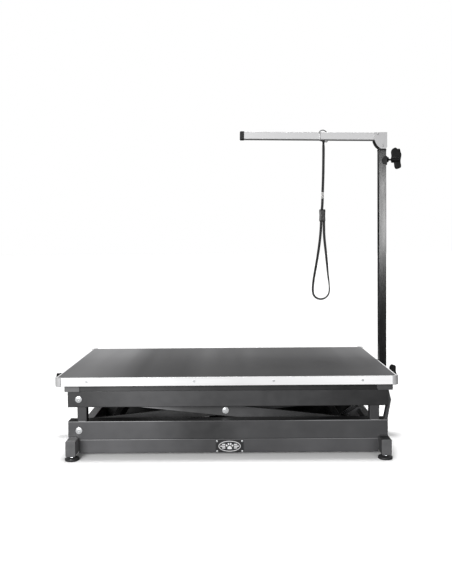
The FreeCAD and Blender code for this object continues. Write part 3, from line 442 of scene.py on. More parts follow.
def rubber():
    """Dark rubber mat with a fine pebble, with painted sheen: lighter towards both ends and towards the back to match
    one viewpoint, with long faint painted reflection streaks across the table.
    """
    k = Mat("mat_rubber", (0.050, 0.050, 0.051), 0.52, 0.0, Specular_IOR_Level=0.22)
    # painted reflection: long soft streaks, also varying the roughness
    reflection_streaks = k.noise(7.0, 3.0, 0.5, k.obj((1.0, 0.10, 1)))
    cloud = k.noise(2.4, 3.0, 0.5)
    tone = k.mix(k.span(reflection_streaks, 0.0, 1.0, 0.32, 0.68), (0.108, 0.108, 0.110), (0.150, 0.150, 0.152))
    # painted sheen: lighter towards both ends along X
    tone = k.along(tone, [(-0.62, 1.0), (-0.50, 0.94), (-0.42, 0.80), (-0.34, 0.44), (-0.22, 0.40), (-0.10, 0.46), (0.05, 0.42), (0.30, 0.40), (0.46, 0.52), (0.62, 0.74)])
    # painted sheen: lighter towards the back along Y
    tone = k.along(tone, [(-0.33, 0.80), (-0.13, 0.94), (0.04, 1.22), (0.19, 1.65), (0.33, 1.9)], "Y", -0.33, 0.33)
    k.color(tone)
    k.rough(k.math("ADD", k.span(reflection_streaks, 0.48, 0.58, 0.3, 0.7), k.span(cloud, -0.03, 0.04, 0.3, 0.7)))
    pebble = k.voronoi(620.0, feature="SMOOTH_F1")
    fine = k.noise(1500.0, 2.0)
    k.norm(k.bump(pebble, 0.12, 0.0003, k.bump(fine, 0.08, 0.0001, k.round_edges(0.001))))
    return k.m


def corner():
    k = Mat("corner_plastic", (0.45, 0.45, 0.455), 0.42)
    k.color(k.mix(k.span(k.noise(24.0, 4.0), 0.0, 1.0, 0.3, 0.7), (0.40, 0.40, 0.405), (0.50, 0.50, 0.505)))
    k.rough(k.span(k.noise(120.0, 4.0), 0.32, 0.46, 0.3, 0.7))
    k.norm(k.bump(k.noise(1300.0, 2.0), 0.2, 0.0001, k.round_edges(0.0012)))
    return k.m


def gloss_black():
    k = Mat("post_paint", (0.003, 0.003, 0.0032), 0.24, 0.0, Specular_IOR_Level=0.4, Coat_Weight=0.35, Coat_Roughness=0.16)
    k.color(k.mix(k.span(k.noise(40.0, 5.0, 0.6, k.obj((1, 1, 0.2))), 0.0, 1.0, 0.3, 0.7), (0.002, 0.002, 0.0022), (0.0045, 0.0045, 0.0047)))
    k.rough(k.span(k.noise(60.0, 4.0, 0.6, k.obj((1, 1, 0.15))), 0.20, 0.32, 0.3, 0.7))
    k.norm(k.bump(k.noise(500.0, 2.0), 0.06, 0.0001, k.round_edges(0.0008)))
    return k.m


def silver():
    """Silver lacquer with fine flakes."""
    k = Mat("arm_silver", (0.56, 0.56, 0.565), 0.42, 0.15)
    flake = k.voronoi(2600.0, out="Color")
    sep = k.new("SeparateColor")
    k.wire(flake, sep.inputs[0])
    k.color(k.mix(k.span(sep.outputs[0], 0.0, 1.0, 0.0, 1.0), (0.51, 0.51, 0.515), (0.60, 0.60, 0.605)))
    k.rough(k.span(k.noise(40.0, 5.0, 0.6, k.obj((0.3, 1, 1))), 0.38, 0.50, 0.3, 0.7))
    k.norm(k.bump(k.noise(900.0, 2.0), 0.08, 0.0001, k.round_edges(0.0045)))
    return k.m


def bracket_mat():
    """The bracket's silver lacquer, with the curved inner strip and the low parts beyond its arc near black."""
    k = Mat("corner_bracket_finish", (0.50, 0.50, 0.505), 0.42, 0.15)
    x = k.math("SUBTRACT", k.axis("X"), 0.6537)
    z = k.math("SUBTRACT", k.axis("Z"), 1.221)
    d = k.math("SQRT", k.math("ADD", k.math("MULTIPLY", x, x), k.math("MULTIPLY", z, z)))
    low = k.math("MULTIPLY", k.math("LESS_THAN", k.axis("Z"), 1.2113), k.math("LESS_THAN", k.axis("X"), 0.6236))
    strip = k.math("MULTIPLY", k.math("GREATER_THAN", d, 0.0488), k.math("LESS_THAN", k.math("ABSOLUTE", k.axis("Y")), 0.0181))
    inner = k.math("MULTIPLY", low, k.math("MAXIMUM", strip, k.math("GREATER_THAN", d, 0.0517)))
    k.color(k.mix(inner, k.mix(k.noise(500.0, 3.0), (0.43, 0.43, 0.435), (0.50, 0.50, 0.505)), k.mix(k.noise(300.0, 3.0), (0.008, 0.008, 0.008), (0.02, 0.02, 0.02))))
    k.wire(k.math("MULTIPLY", k.math("SUBTRACT", 1.0, inner), 0.15), k.b.inputs["Metallic"])
    k.rough(k.span(k.noise(60.0, 4.0), 0.34, 0.46, 0.3, 0.7))
    k.norm(k.bump(k.noise(900.0, 2.0), 0.08, 0.0001, k.round_edges(0.001)))
    return k.m


def cross_mat():
    """Cross tubes of the upper frame: paint made near black as painted shade, with lighter moulded caps in the open
    ends, those on the left lighter still as painted light.
    """
    k = Mat("cross_tube_painted_shade_and_light", (0.05, 0.05, 0.05), 0.45)
    end = k.math("GREATER_THAN", k.math("ABSOLUTE", k.axis("Y")), 0.2921)
    left = k.math("LESS_THAN", k.axis("X"), 0.0)
    # painted shade: the tube paint made near black
    paint = k.mix(k.noise(60.0, 4.0), (0.008, 0.008, 0.0084), (0.015, 0.015, 0.0155))
    # painted light: the caps on the left lighter than those on the right
    cap = k.mix(left, k.mix(k.noise(45.0, 4.0), (0.040, 0.040, 0.042), (0.075, 0.075, 0.077)), k.mix(k.noise(45.0, 4.0), (0.10, 0.10, 0.103), (0.14, 0.14, 0.143)))
    k.color(k.mix(k.math("MULTIPLY", k.edge_mask(0.0012), 0.5), k.mix(end, paint, cap), (0.2, 0.2, 0.205)))
    k.rough(k.span(k.noise(80.0, 4.0), 0.38, 0.52, 0.3, 0.7))
    k.norm(k.bump(k.noise(1000.0, 2.0), 0.2, 0.0001, k.round_edges(0.0009)))
    return k.m


def webbing():
    """Flat black webbing: a fine twill across. u runs along in metres, v across from 0 to 1."""
    k = Mat("strap_webbing", (0.012, 0.012, 0.012), 0.78, 0.0, Specular_IOR_Level=0.3, Sheen_Weight=0.12, Sheen_Roughness=0.4)
    c = k.obj((1, 1, 1), uv=True)
    s = k.new("SeparateXYZ")
    k.wire(c, s.inputs[0])
    u, v = s.outputs[0], s.outputs[1]
    ribs = k.math("ABSOLUTE", k.math("SINE", k.math("ADD", k.math("MULTIPLY", u, math.pi / 0.0011), k.math("MULTIPLY", k.math("ABSOLUTE", k.math("SUBTRACT", v, 0.5)), 22.0))))
    warp = k.math("ABSOLUTE", k.math("SINE", k.math("MULTIPLY", v, math.pi * 14)))
    weave = k.math("MULTIPLY", k.math("ADD", ribs, 0.35), k.math("ADD", warp, 0.5))
    fuzz = k.noise(2200.0, 3.0)
    k.color(k.mix(k.span(weave, 0.0, 1.0, 0.2, 1.6), (0.007, 0.007, 0.007), (0.036, 0.036, 0.037)))
    k.rough(k.span(fuzz, 0.6, 0.85, 0.3, 0.7))
    k.norm(k.bump(weave, 0.6, 0.0003, k.bump(fuzz, 0.2, 0.0001)))
    return k.m


def thread():
    k = Mat("stitch_thread", (0.03, 0.03, 0.03), 0.6, 0.0, Sheen_Weight=0.3)
    k.color(k.mix(k.noise(900.0, 3.0), (0.02, 0.02, 0.02), (0.07, 0.07, 0.07)))
    k.norm(k.bump(k.wave(600.0, "DIAGONAL"), 0.4, 0.0002))
    return k.m


def foot_mat():
    """Black moulded disc low down, zinc plated nut and stud above it."""
    k = Mat("levelling_foot", (0.02, 0.02, 0.02), 0.4)
    up = k.math("GREATER_THAN", k.axis("Z"), 0.0119)
    ridge = k.math("ABSOLUTE", k.math("SINE", k.math("MULTIPLY", k.axis("Z"), math.pi / 0.0015)))
    k.color(k.mix(up, k.mix(k.noise(60.0, 4.0), (0.016, 0.016, 0.017), (0.045, 0.045, 0.046)), k.mix(k.noise(200.0, 4.0), (0.55, 0.56, 0.58), (0.75, 0.76, 0.78))))
    k.wire(up, k.b.inputs["Metallic"])
    k.rough(k.mixv(up, 0.40, 0.26))
    k.norm(k.bump(k.math("MULTIPLY", ridge, k.math("GREATER_THAN", k.axis("Z"), 0.0204)), 0.8, 0.0006, k.bump(k.noise(700.0, 3.0), 0.12, 0.0001, k.round_edges(0.0008))))
    return k.m


def knob_mat():
    """Moulded wing knob, eased and a little polished along its edges."""
    return moulded("knob_plastic", (0.006, 0.006, 0.0062), 0.46, (0.035, 0.035, 0.036), 1700.0, 0.25, spec=0.15)


def roller_lists():
    return ["roller_upper_front", "roller_upper_rear", "roller_lower_front", "roller_lower_rear"]


CASTING, PLATE, NYLON, PLY, RUBBER = casting(), plate(), nylon(), plywood(), rubber()
BRACKET, CROSS_PAINT = bracket_mat(), cross_mat()
CORNER, GLOSS, SILVER, WEB, THREAD, FOOT, KNOB = corner(), gloss_black(), silver(), webbing(), thread(), foot_mat(), knob_mat()

FINISH = {
    "frame_paint": FRAME_PAINT, "scissor_paint": SCISSOR_PAINT, "leg_cap_plastic": LEG_CAP, "zinc_steel": ZINC,
    "plate_metal": PLATE, "motor_casting": CASTING, "screw_steel": SCREW, "black_plastic": BLACK,
    "roller_nylon": NYLON, "board_wood": PLY, "mat_rubber": RUBBER, "edge_aluminium": ALU,
    "corner_plastic": CORNER, "post_paint": GLOSS, "arm_silver": SILVER, "ring_chrome": CHROME,
    "strap_webbing": WEB, "clip_metal": NICKEL, "slider_plastic": SLIDER,
}
SLOT_OF = {s["node"]: s["material_slot"] for s in frame["record"]["subparts"]}
for n, ob in NODES.items():
    m = FINISH[SLOT_OF[n]]
    if n.startswith("levelling_foot"):
        m = FOOT
    if "knob" in n:
        m = KNOB
    if n in ("upper_channel_front", "upper_channel_rear"):
        m = UPPER_PAINT
    if n == "frame_rails":
        m = SUB_PAINT
    if n in ("base_rail_front", "base_rail_rear"):
        m = RAIL_PAINT
    if n in ("base_rail_rear", "lower_channel_rear", "upper_channel_rear"):
        m = REAR_PAINT
    # painted light on the left base cross tube
    if n == "base_cross_tube_left":
        m = LIT_LEFT_TUBE
    if n in ("outer_arm_front", "outer_arm_rear"):
        m = ARM_PAINT
    if n in ("stop_posts", "end_guards"):
        m = STOP_PAINT
    if n == "frame_cross_tubes":
        m = CROSS_PAINT
    if n == "corner_bracket":
        m = BRACKET
    for slot in ob.material_slots:
        slot.material = m

# ------------------------------------------------------------------ noose: strap and loop
SHIFT = -0.0075
STRAP_W, STRAP_T = 0.0108, 0.0021
WIRE_Z = 1.21047
STRAP_PTS = [(405.6, 1203.47), (404.6, 1136.0), (403.6, 1068.0), (400.9, 1003.4)]
LOOP_PTS = [(400.2, 975.9), (399.4, 945.0), (395.0, 912.0), (394.2, 872.0), (391.2, 826.0), (384.4, 772.0),
            (375.4, 716.0), (365.6, 664.0), (359.0, 622.0), (358.0, 584.2), (370.8, 566.5), (391.5, 559.8),
            (412.2, 566.5), (426.4, 584.2), (427.2, 618.0), (421.2, 662.0), (417.2, 712.0), (411.8, 768.0),
            (406.2, 820.0), (405.4, 868.0), (405.0, 900.0)]


def route_line(name, pts):
    """The smooth line of a route: a NURBS spline with the route's points as its control points."""
    cu = bpy.data.curves.new(name, "CURVE")
    cu.dimensions = "3D"
    cu.resolution_u = 10
    sp = cu.splines.new("NURBS")
    sp.points.add(len(pts) - 1)
    for q, (x, z) in zip(sp.points, pts):
        q.co = (x / 1000 + SHIFT, 0.0, z / 1000, 1.0)
    sp.order_u = 3
    sp.use_endpoint_u = True
    ob = bpy.data.objects.new(name, cu)
    me = bpy.data.meshes.new_from_object(ob)
    line = [v.co.copy() for v in me.vertices]
    bpy.data.meshes.remove(me)
    bpy.data.objects.remove(ob)
    bpy.data.curves.remove(cu)
    return line


def lengths(line):
    s = [0.0]
    for a, b in zip(line, line[1:]):
        s.append(s[-1] + (b - a).length)
    return s


def interp(table, x):
    for (a, u), (b, v) in zip(table, table[1:]):
        if x <= b:
            t = 0 if b == a else max(0.0, (x - a) / (b - a))
            t = t * t * (3 - 2 * t)
            return u + (v - u) * t
    return table[-1][1]


def tangents(line):
    out = []
    for i in range(len(line)):
        a, b = line[max(0, i - 1)], line[min(len(line) - 1, i + 1)]
        out.append((b - a).normalized())
    return out


def ribbon(name, line, twist, body, width=STRAP_W, thick=STRAP_T, offset=0.0, us=None):
    """Flat webbing along a line. twist(fraction) is the turn of its width about the line, in degrees."""
    s = lengths(line)
    tg = tangents(line)
    hw, ht = width / 2, thick / 2
    prof, across = [], []
    n = 7
    for i in range(n):  # one rounded edge
        a = math.pi / 2 - math.pi * i / (n - 1)
        prof.append((hw - ht * 0.9 + math.cos(a) * ht * 0.9, math.sin(a) * ht))
    mids = [0.5, 0.0, -0.5]
    prof += [(hw * q, -ht * (1.0 + 0.0 * q)) for q in mids]
    for i in range(n):
        a = -math.pi / 2 - math.pi * i / (n - 1)
        prof.append((-hw + ht * 0.9 + math.cos(a) * ht * 0.9, math.sin(a) * ht))
    prof += [(hw * q, ht) for q in (-0.5, 0.0, 0.5)]
    across = [0.5 + p[0] / width for p in prof]
    across.append(across[0])
    rings = []
    for p, t, q in zip(line, tg, s):
        f = math.radians(twist(q / s[-1]))
        nrm = t.cross(Vector((0, 1, 0))).normalized()
        w = math.cos(f) * nrm + math.sin(f) * Vector((0, 1, 0))
        h = -math.sin(f) * nrm + math.cos(f) * Vector((0, 1, 0))
        c = p + h * offset
        rings.append([c + w * a + h * b for a, b in prof])
    bm = bmesh.new()
    ring_loft(bm, rings, uv=([x + 0.001 for x in s], across))
    ob = mesh_object(name, bm, body, WEB, smooth=60)
    return ob


RING_TURN = 48.0
strap_line = route_line("strap_route", STRAP_PTS)
loop_line = route_line("loop_route", LOOP_PTS)
strap_twist = lambda t: interp([(0.0, RING_TURN), (0.10, 8.0), (0.2, 0.0), (1.0, 0.0)], t)
loop_twist = lambda t: interp([(0.0, 0.0), (0.12, 4.0), (0.30, 14.0), (0.42, 24.0), (0.50, 38.0), (0.545, 54.0),
                               (0.585, 70.0), (0.64, 78.0), (0.70, 62.0), (0.78, 40.0), (0.90, 24.0), (1.0, 8.0)], t)
strap = ribbon("noose_strap_webbing", strap_line, strap_twist, "noose")
loop = ribbon("noose_loop_webbing", loop_line, loop_twist, "noose")
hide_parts("noose_strap")
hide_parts("noose_loop")

# sewn eye round the ring's wire, and the end folded back behind the strap
EYE = Vector((0.3977, 0.0, WIRE_Z))
along_wire = Vector((math.sin(math.radians(42.0)), math.cos(math.radians(42.0)), 0))
over = Vector((0, 0, 1)).cross(along_wire).normalized()


def eye():
    r_in, t = 0.0026, 0.0016
    mid = r_in + t / 2
    pts = []
    base = strap_line[0] - EYE
    for i in range(5):
        u = i / 4
        pts.append(over * (0.0011 + (mid - 0.0011) * u ** 1.5) + Vector((0, 0, base.z - 0.0005 + (0.0005 - base.z - 0.001) * u)))
    for i in range(1, 12):
        a = math.radians(180 * i / 12)
        pts.append(over * (math.cos(a) * mid) + Vector((0, 0, math.sin(a) * mid - 0.001 * (1 - i / 12))))
    for i in range(5):
        u = 1 - i / 4
        pts.append(-over * (0.0011 + (mid - 0.0011) * u ** 1.5) + Vector((0, 0, base.z - 0.0005 + (0.0005 - base.z - 0.001) * u)))
    line = [EYE + p for p in pts]
    tg = tangents(line)
    s = lengths(line)
    hw, ht = STRAP_W / 2, t / 2
    prof = [(hw, -ht * 0.5), (hw, ht * 0.5), (hw * 0.86, ht), (0, ht), (-hw * 0.86, ht), (-hw, ht * 0.5), (-hw, -ht * 0.5), (-hw * 0.86, -ht), (0, -ht), (hw * 0.86, -ht)]
    across = [0.5 + p[0] / STRAP_W for p in prof] + [1.0]
    rings = []
    for p, tt in zip(line, tg):
        h = along_wire.cross(tt).normalized()
        rings.append([p + along_wire * a + h * b for a, b in prof])
    bm = bmesh.new()
    ring_loft(bm, rings, uv=(s, across))
    return mesh_object("noose_eye", bm, "noose", WEB, smooth=60)


noose_eye = eye()
k30 = next(i for i, q in enumerate(lengths(strap_line)) if q > 0.034)
fold_line = strap_line[:k30 + 1]
fold_total = lengths(strap_line)[-1]
fold_len = lengths(fold_line)[-1]
fold = ribbon("noose_fold", fold_line, lambda t: strap_twist(t * fold_len / fold_total), "noose", STRAP_W * 0.97, 0.0016, 0.0019)


def stitches(name, line, twist, spots, body, offset, width=STRAP_W):
    """Short thread stitches lying on the face of the webbing; spots are (distance along, place across, turned)."""
    s, tg = lengths(line), tangents(line)
    bm = bmesh.new()
    for d, v, turned, face in spots:
        i = max(j for j, q in enumerate(s) if q <= d)
        i = min(i, len(line) - 2)
        u = (d - s[i]) / max(1e-9, s[i + 1] - s[i])
        p, t = line[i].lerp(line[i + 1], u), tg[i].lerp(tg[i + 1], u).normalized()
        f = math.radians(twist(d / s[-1]))
        nrm = t.cross(Vector((0, 1, 0))).normalized()
        w = math.cos(f) * nrm + math.sin(f) * Vector((0, 1, 0))
        h = (-math.sin(f) * nrm + math.cos(f) * Vector((0, 1, 0))) * face
        a = (t * math.cos(turned) + w * math.sin(turned)).normalized()
        b = h.cross(a).normalized()
        c = p + w * (v * width) + h * offset
        rings = []
        for q in range(7):
            x = -1 + 2 * q / 6
            r = 0.00032 * math.sqrt(max(0.05, 1 - x * x * 0.9))
            cc = c + a * (x * 0.0012) - h * (0.0002 * x * x)
            rings.append([cc + b * (math.cos(g) * r) + h * (math.sin(g) * r) for g in [k * math.pi / 3 for k in range(6)]])
        ring_loft(bm, rings)
    return mesh_object(name, bm, body, THREAD, smooth=80)


spots = []
for face in (-1, 1):
    for v in (-0.36, 0.36):
        spots += [(0.006 + 0.0032 * i, v, 0.0, face) for i in range(8)]
    for d in (0.006, 0.0285):
        spots += [(d, v, math.pi / 2, face) for v in (-0.24, -0.08, 0.08, 0.24)]
    spots += [(0.0075 + 0.0026 * i, -0.28 + 0.08 * i, 0.55, face) for i in range(8)]
top_stitches = stitches("noose_stitches_top", strap_line, strap_twist, [q for q in spots if q[3] < 0], "noose", STRAP_T / 2 + 0.0001)
back_stitches = stitches("noose_stitches_back", strap_line, strap_twist, [q for q in spots if q[3] > 0], "noose", 0.0029)


# crimped sleeve between strap and loop
def clip():
    lo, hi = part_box("noose_clip")
    c = (lo + hi) / 2
    hx, hy, z0, z1 = (hi.x - lo.x) / 2, (hi.y - lo.y) / 2, lo.z, hi.z
    bm = bmesh.new()
    n, m = 34, 32
    rings = []
    for i in range(n + 1):
        t = i / n
        z = z0 + (z1 - z0) * t
        lip = math.exp(-((t - 0.0) / 0.035) ** 2) + math.exp(-((t - 1.0) / 0.035) ** 2)
        crimp = sum(math.exp(-((t - q) / 0.045) ** 2) for q in (0.22, 0.5, 0.78))
        ax = hx * (0.93 + 0.05 * lip - 0.05 * crimp)
        ay = hy * (0.72 + 0.25 * lip - 0.22 * crimp)
        ring = []
        for j in range(m):
            a = 2 * math.pi * j / m
            ca, sa = math.cos(a), math.sin(a)
            ring.append(Vector((c.x + ax * math.copysign(abs(ca) ** 0.45, ca), c.y + ay * math.copysign(abs(sa) ** 0.55, sa), z)))
        rings.append(ring)
    ring_loft(bm, rings, cap=False)
    inner = [[Vector((c.x + (p.x - c.x) * 0.86, c.y + (p.y - c.y) * 0.60, p.z)) for p in r] for r in rings]
    ring_loft(bm, inner, cap=False)
    bm.verts.ensure_lookup_table()
    k = (n + 1) * m
    for row in (0, n):
        for j in range(m):
            q = (j + 1) % m
            a, b = bm.verts[row * m + j], bm.verts[row * m + q]
            d, e = bm.verts[k + row * m + j], bm.verts[k + row * m + q]
            bm.faces.new((a, b, e, d))
    # two round dimples in front
    for z in (0.32, 0.68):
        g = bmesh.ops.create_uvsphere(bm, u_segments=18, v_segments=10, radius=0.0016)["verts"]
        for v in g:
            v.co = Vector((c.x + v.co.x, c.y - hy * 0.74 + v.co.y * 0.42, z0 + (z1 - z0) * z + v.co.z))
    ob = mesh_object("noose_sleeve", bm, "noose", NICKEL, smooth=50)
    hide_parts("noose_clip")
    return ob


sleeve = clip()


# moulded slider with a spring button, both strands run through it
def slider():
    lo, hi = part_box("noose_slider")
    c = (lo + hi) / 2
    hx, hy, z0, z1 = (hi.x - lo.x) / 2, (hi.y - lo.y) / 2, lo.z, hi.z
    bm = bmesh.new()
    n, m = 40, 40
    rings = []
    for i in range(n + 1):
        t = i / n
        z = z0 + (z1 - z0) * t
        end = max(0.0, 1 - (min(t, 1 - t) / 0.10)) ** 2
        waist = 0.07 * math.exp(-((t - 0.5) / 0.22) ** 2)
        ax = hx * (0.99 - 0.14 * end - waist)
        ay = hy * (0.96 - 0.30 * end)
        for_ribs = 0.035 * max(0.0, math.sin((t - 0.2) * math.pi * 20)) if 0.2 < t < 0.8 else 0.0
        ring = []
        for j in range(m):
            a = 2 * math.pi * j / m
            ca, sa = math.cos(a), math.sin(a)
            side = 1 - for_ribs * (abs(ca) > 0.75)
            ring.append(Vector((c.x + ax * side * math.copysign(abs(ca) ** 0.6, ca), c.y + ay * math.copysign(abs(sa) ** 0.6, sa), z)))
        rings.append(ring)
    inner = []
    for r in (rings[0], rings[-1]):
        inner.append([Vector((c.x + (p.x - c.x) * 0.82, c.y + (p.y - c.y) * 0.52, p.z)) for p in r])
    bm2 = ring_loft(bm, rings, cap=False)
    a = [bm.verts.new(p) for p in inner[0]]
    b = [bm.verts.new(p) for p in inner[1]]
    for j in range(m):
        q = (j + 1) % m
        bm.faces.new((bm2[0][j], bm2[0][q], a[q], a[j]))
        bm.faces.new((bm2[-1][q], bm2[-1][j], b[j], b[q]))
        bm.faces.new((a[j], a[q], b[q], b[j]))
    g = bmesh.ops.create_uvsphere(bm, u_segments=24, v_segments=12, radius=0.0052)["verts"]
    for v in g:
        v.co = Vector((c.x + v.co.x, c.y - hy * 0.86 + v.co.y * 0.20, z0 + (z1 - z0) * 0.5 + v.co.z * 1.2))
    ob = mesh_object("noose_slide_lock", bm, "noose", SLIDER, smooth=40)
    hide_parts("noose_slider")
    return ob


lock = slider()
loop_spots = []
s_loop = lengths(loop_line)[-1]
for face in (-1, 1):
    for v in (-0.34, 0.34):
        loop_spots += [(0.006 + 0.0034 * i, v, 0.0, face) for i in range(6)]
    loop_spots += [(d, v, math.pi / 2, face) for d in (0.005, 0.0245) for v in (-0.2, 0.0, 0.2)]
loop_stitches = stitches("noose_stitches_loop", loop_line, loop_twist, loop_spots, "noose", STRAP_T / 2 + 0.0001)

# ------------------------------------------------------------------ nameplate relief
PX, PY, PZ = 0.0025, -0.2782, 0.0380


def flat_shape(bm, outline, holes=(), depth=0.0005, y=PY):
    """A thin raised shape on the plate: outline points (x, z), extruded towards -Y with soft edges."""
    vs = [bm.verts.new((PX + x, y + 0.0001, PZ + z)) for x, z in outline]
    if holes:
        inner = [bm.verts.new((PX + x, y + 0.0001, PZ + z)) for x, z in holes]
        top = [bm.verts.new((PX + x * 0.999, y - depth, PZ + z * 0.999)) for x, z in outline]
        tin = [bm.verts.new((PX + x * 1.001, y - depth, PZ + z * 1.001)) for x, z in holes]
        n = len(vs)
        for i in range(n):
            k = (i + 1) % n
            bm.faces.new((vs[i], vs[k], top[k], top[i]))
            bm.faces.new((inner[k], inner[i], tin[i], tin[k]))
            bm.faces.new((top[i], top[k], tin[k], tin[i]))
    else:
        top = [bm.verts.new((PX + x, y - depth, PZ + z)) for x, z in outline]
        n = len(vs)
        for i in range(n):
            k = (i + 1) % n
            bm.faces.new((vs[i], vs[k], top[k], top[i]))
        bm.faces.new(top)


def ellipse(cx, cz, a, b, rot=0.0, n=40):
    out = []
    for i in range(n):
        t = 2 * math.pi * i / n
        x, z = a * math.cos(t), b * math.sin(t)
        out.append((cx + x * math.cos(rot) - z * math.sin(rot), cz + x * math.sin(rot) + z * math.cos(rot)))
    return out


def rounded_rect(hx, hz, r, n=6):
    out = []
    for sx, sz, a0 in ((1, 1, 0), (-1, 1, 90), (-1, -1, 180), (1, -1, 270)):
        for i in range(n + 1):
            a = math.radians(a0 + 90 * i / n)
            out.append((sx * (hx - r) + r * math.cos(a), sz * (hz - r) + r * math.sin(a)))
    return out


bm = bmesh.new()
flat_shape(bm, ellipse(0, 0, 0.0415, 0.0200, n=64), ellipse(0, 0, 0.0390, 0.0177, n=64))
pad = []
for i in range(48):
    t = 2 * math.pi * i / 48
    r = 1.0 + 0.13 * math.cos(3 * t - math.pi / 2 * 3)
    pad.append((0.0084 * r * math.cos(t), -0.0060 + 0.0062 * r * math.sin(t)))
flat_shape(bm, pad)
for cx, cz, a, b, rot in ((-0.0108, 0.0024, 0.0028, 0.0038, 0.45), (-0.0040, 0.0082, 0.0030, 0.0042, 0.12),
                          (0.0040, 0.0082, 0.0030, 0.0042, -0.12), (0.0108, 0.0024, 0.0028, 0.0038, -0.45)):
    flat_shape(bm, ellipse(cx, cz, a, b, rot, 28))
for s in (-1, 1):
    for z, x0, x1 in ((0.0066, 0.0164, 0.0282), (0.0, 0.0164, 0.0346), (-0.0066, 0.0164, 0.0282)):
        h = 0.0020
        flat_shape(bm, [(s * x0, z - h), (s * x1, z - h), (s * x1, z + h), (s * x0, z + h)][::s])
mesh_object("nameplate_mark", bm, "base", MARK, smooth=40)

# ------------------------------------------------------------------ weld beads
def bead_mesh(bm, p0, p1, r, seed):
    rnd = random.Random(seed)
    p0, p1 = Vector(p0), Vector(p1)
    d = (p1 - p0)
    length = d.length
    t = d.normalized()
    a = t.orthogonal().normalized()
    b = t.cross(a)
    n = max(6, int(length / (r * 0.28)))
    rings, ph = [], rnd.random() * 6
    for i in range(n + 1):
        u = i / n
        end = min(1.0, min(u, 1 - u) * n / 4 + 0.35)
        q = r * end * (1 + 0.10 * math.sin(2 * math.pi * u * length / (r * 0.9) + ph) + 0.05 * (rnd.random() - 0.5))
        c = p0 + d * u
        rings.append([c + (a * math.cos(g) + b * math.sin(g)) * q for g in [k * math.pi / 5 for k in range(10)]])
    ring_loft(bm, rings)


def beads(name, body, material, lines, r=0.0026):
    bm = bmesh.new()
    for i, (p0, p1) in enumerate(lines):
        bead_mesh(bm, p0, p1, r, i + len(name))
    return mesh_object(name, bm, body, material, smooth=60)


B = []
for x in (-0.5625, 0.5575):
    for y in (-0.277, -0.237, 0.237, 0.277):
        B.append(((x, y, 0.0235), (x, y, 0.0635)))
for x0, x1 in ((-0.5965, -0.5645), (0.5595, 0.5915)):
    for y in (-0.280, 0.280):
        B.append(((x0, y, 0.0762), (x1, y, 0.0762)))
for x0, x1 in ((-0.56665, -0.53115), (0.52615, 0.56165)):
    for y in (-0.277, 0.277):
        B.append(((x0 + 0.003, y, 0.1362), (x1 - 0.003, y, 0.1362)))
for x in (0.5815, 0.5925):
    for s in (-1, 1):
        B.append(((x, s * 0.249, 0.1362), (x, s * 0.273, 0.1362)))
beads("base_welds", "base", FRAME_PAINT, B)
T = []
for x0, x1 in ((-0.5980, -0.5560), (0.5540, 0.5905)):
    for y in (-0.280, 0.280):
        T.append(((x0, y, 0.2502), (x1, y, 0.2502)))
for x in (-0.5535, 0.5525):
    for y in (-0.290, -0.250, 0.250, 0.290):
        T.append(((x, y, 0.2525), (x, y, 0.2775)))
for x in (-0.6085, 0.6075):
    for z in (0.2522, 0.2748):
        T.append(((x, -0.028, z), (x, 0.028, z)))
beads("top_frame_welds", "table_top", FRAME_PAINT, T)


def tube_end_beads(pivot_x, pivot_z, ang, dist, half_y, xt=0.030):
    """Beads round a square cross tube where it meets the arms."""
    out = []
    c, s = math.cos(math.radians(ang)), math.sin(math.radians(ang))

    def at(x, z, y):
        return (pivot_x + x * c - z * s, y, pivot_z + x * s + z * c)
    h = xt / 2
    for sy in (-1, 1):
        y = sy * (half_y - 0.0003)
        for a, b in (((dist - h, -h), (dist + h, -h)), ((dist + h, -h), (dist + h, h)), ((dist + h, h), (dist - h, h)), ((dist - h, h), (dist - h, -h))):
            m = 0.06
            p, q = Vector(a), Vector(b)
            p2, q2 = p.lerp(q, m), q.lerp(p, m)
            out.append((at(p2.x, p2.y, y), at(q2.x, q2.y, y)))
    return out


ARM2 = 2 * math.hypot(0.5475, 0.059)
ANG = math.degrees(math.atan2(0.059, 0.5475))
beads("inner_arm_welds", "inner_arms", SCISSOR_PAINT,
      tube_end_beads(-0.5595, 0.101, ANG, 0.120, 0.192) + tube_end_beads(-0.5595, 0.101, ANG, ARM2 - 0.090, 0.192), 0.0022)
beads("outer_arm_welds", "outer_arms", SCISSOR_PAINT,
      tube_end_beads(-0.5595, 0.219, -ANG, 0.090, 0.214) + tube_end_beads(-0.5595, 0.219, -ANG, ARM2 - 0.120, 0.214), 0.0022)


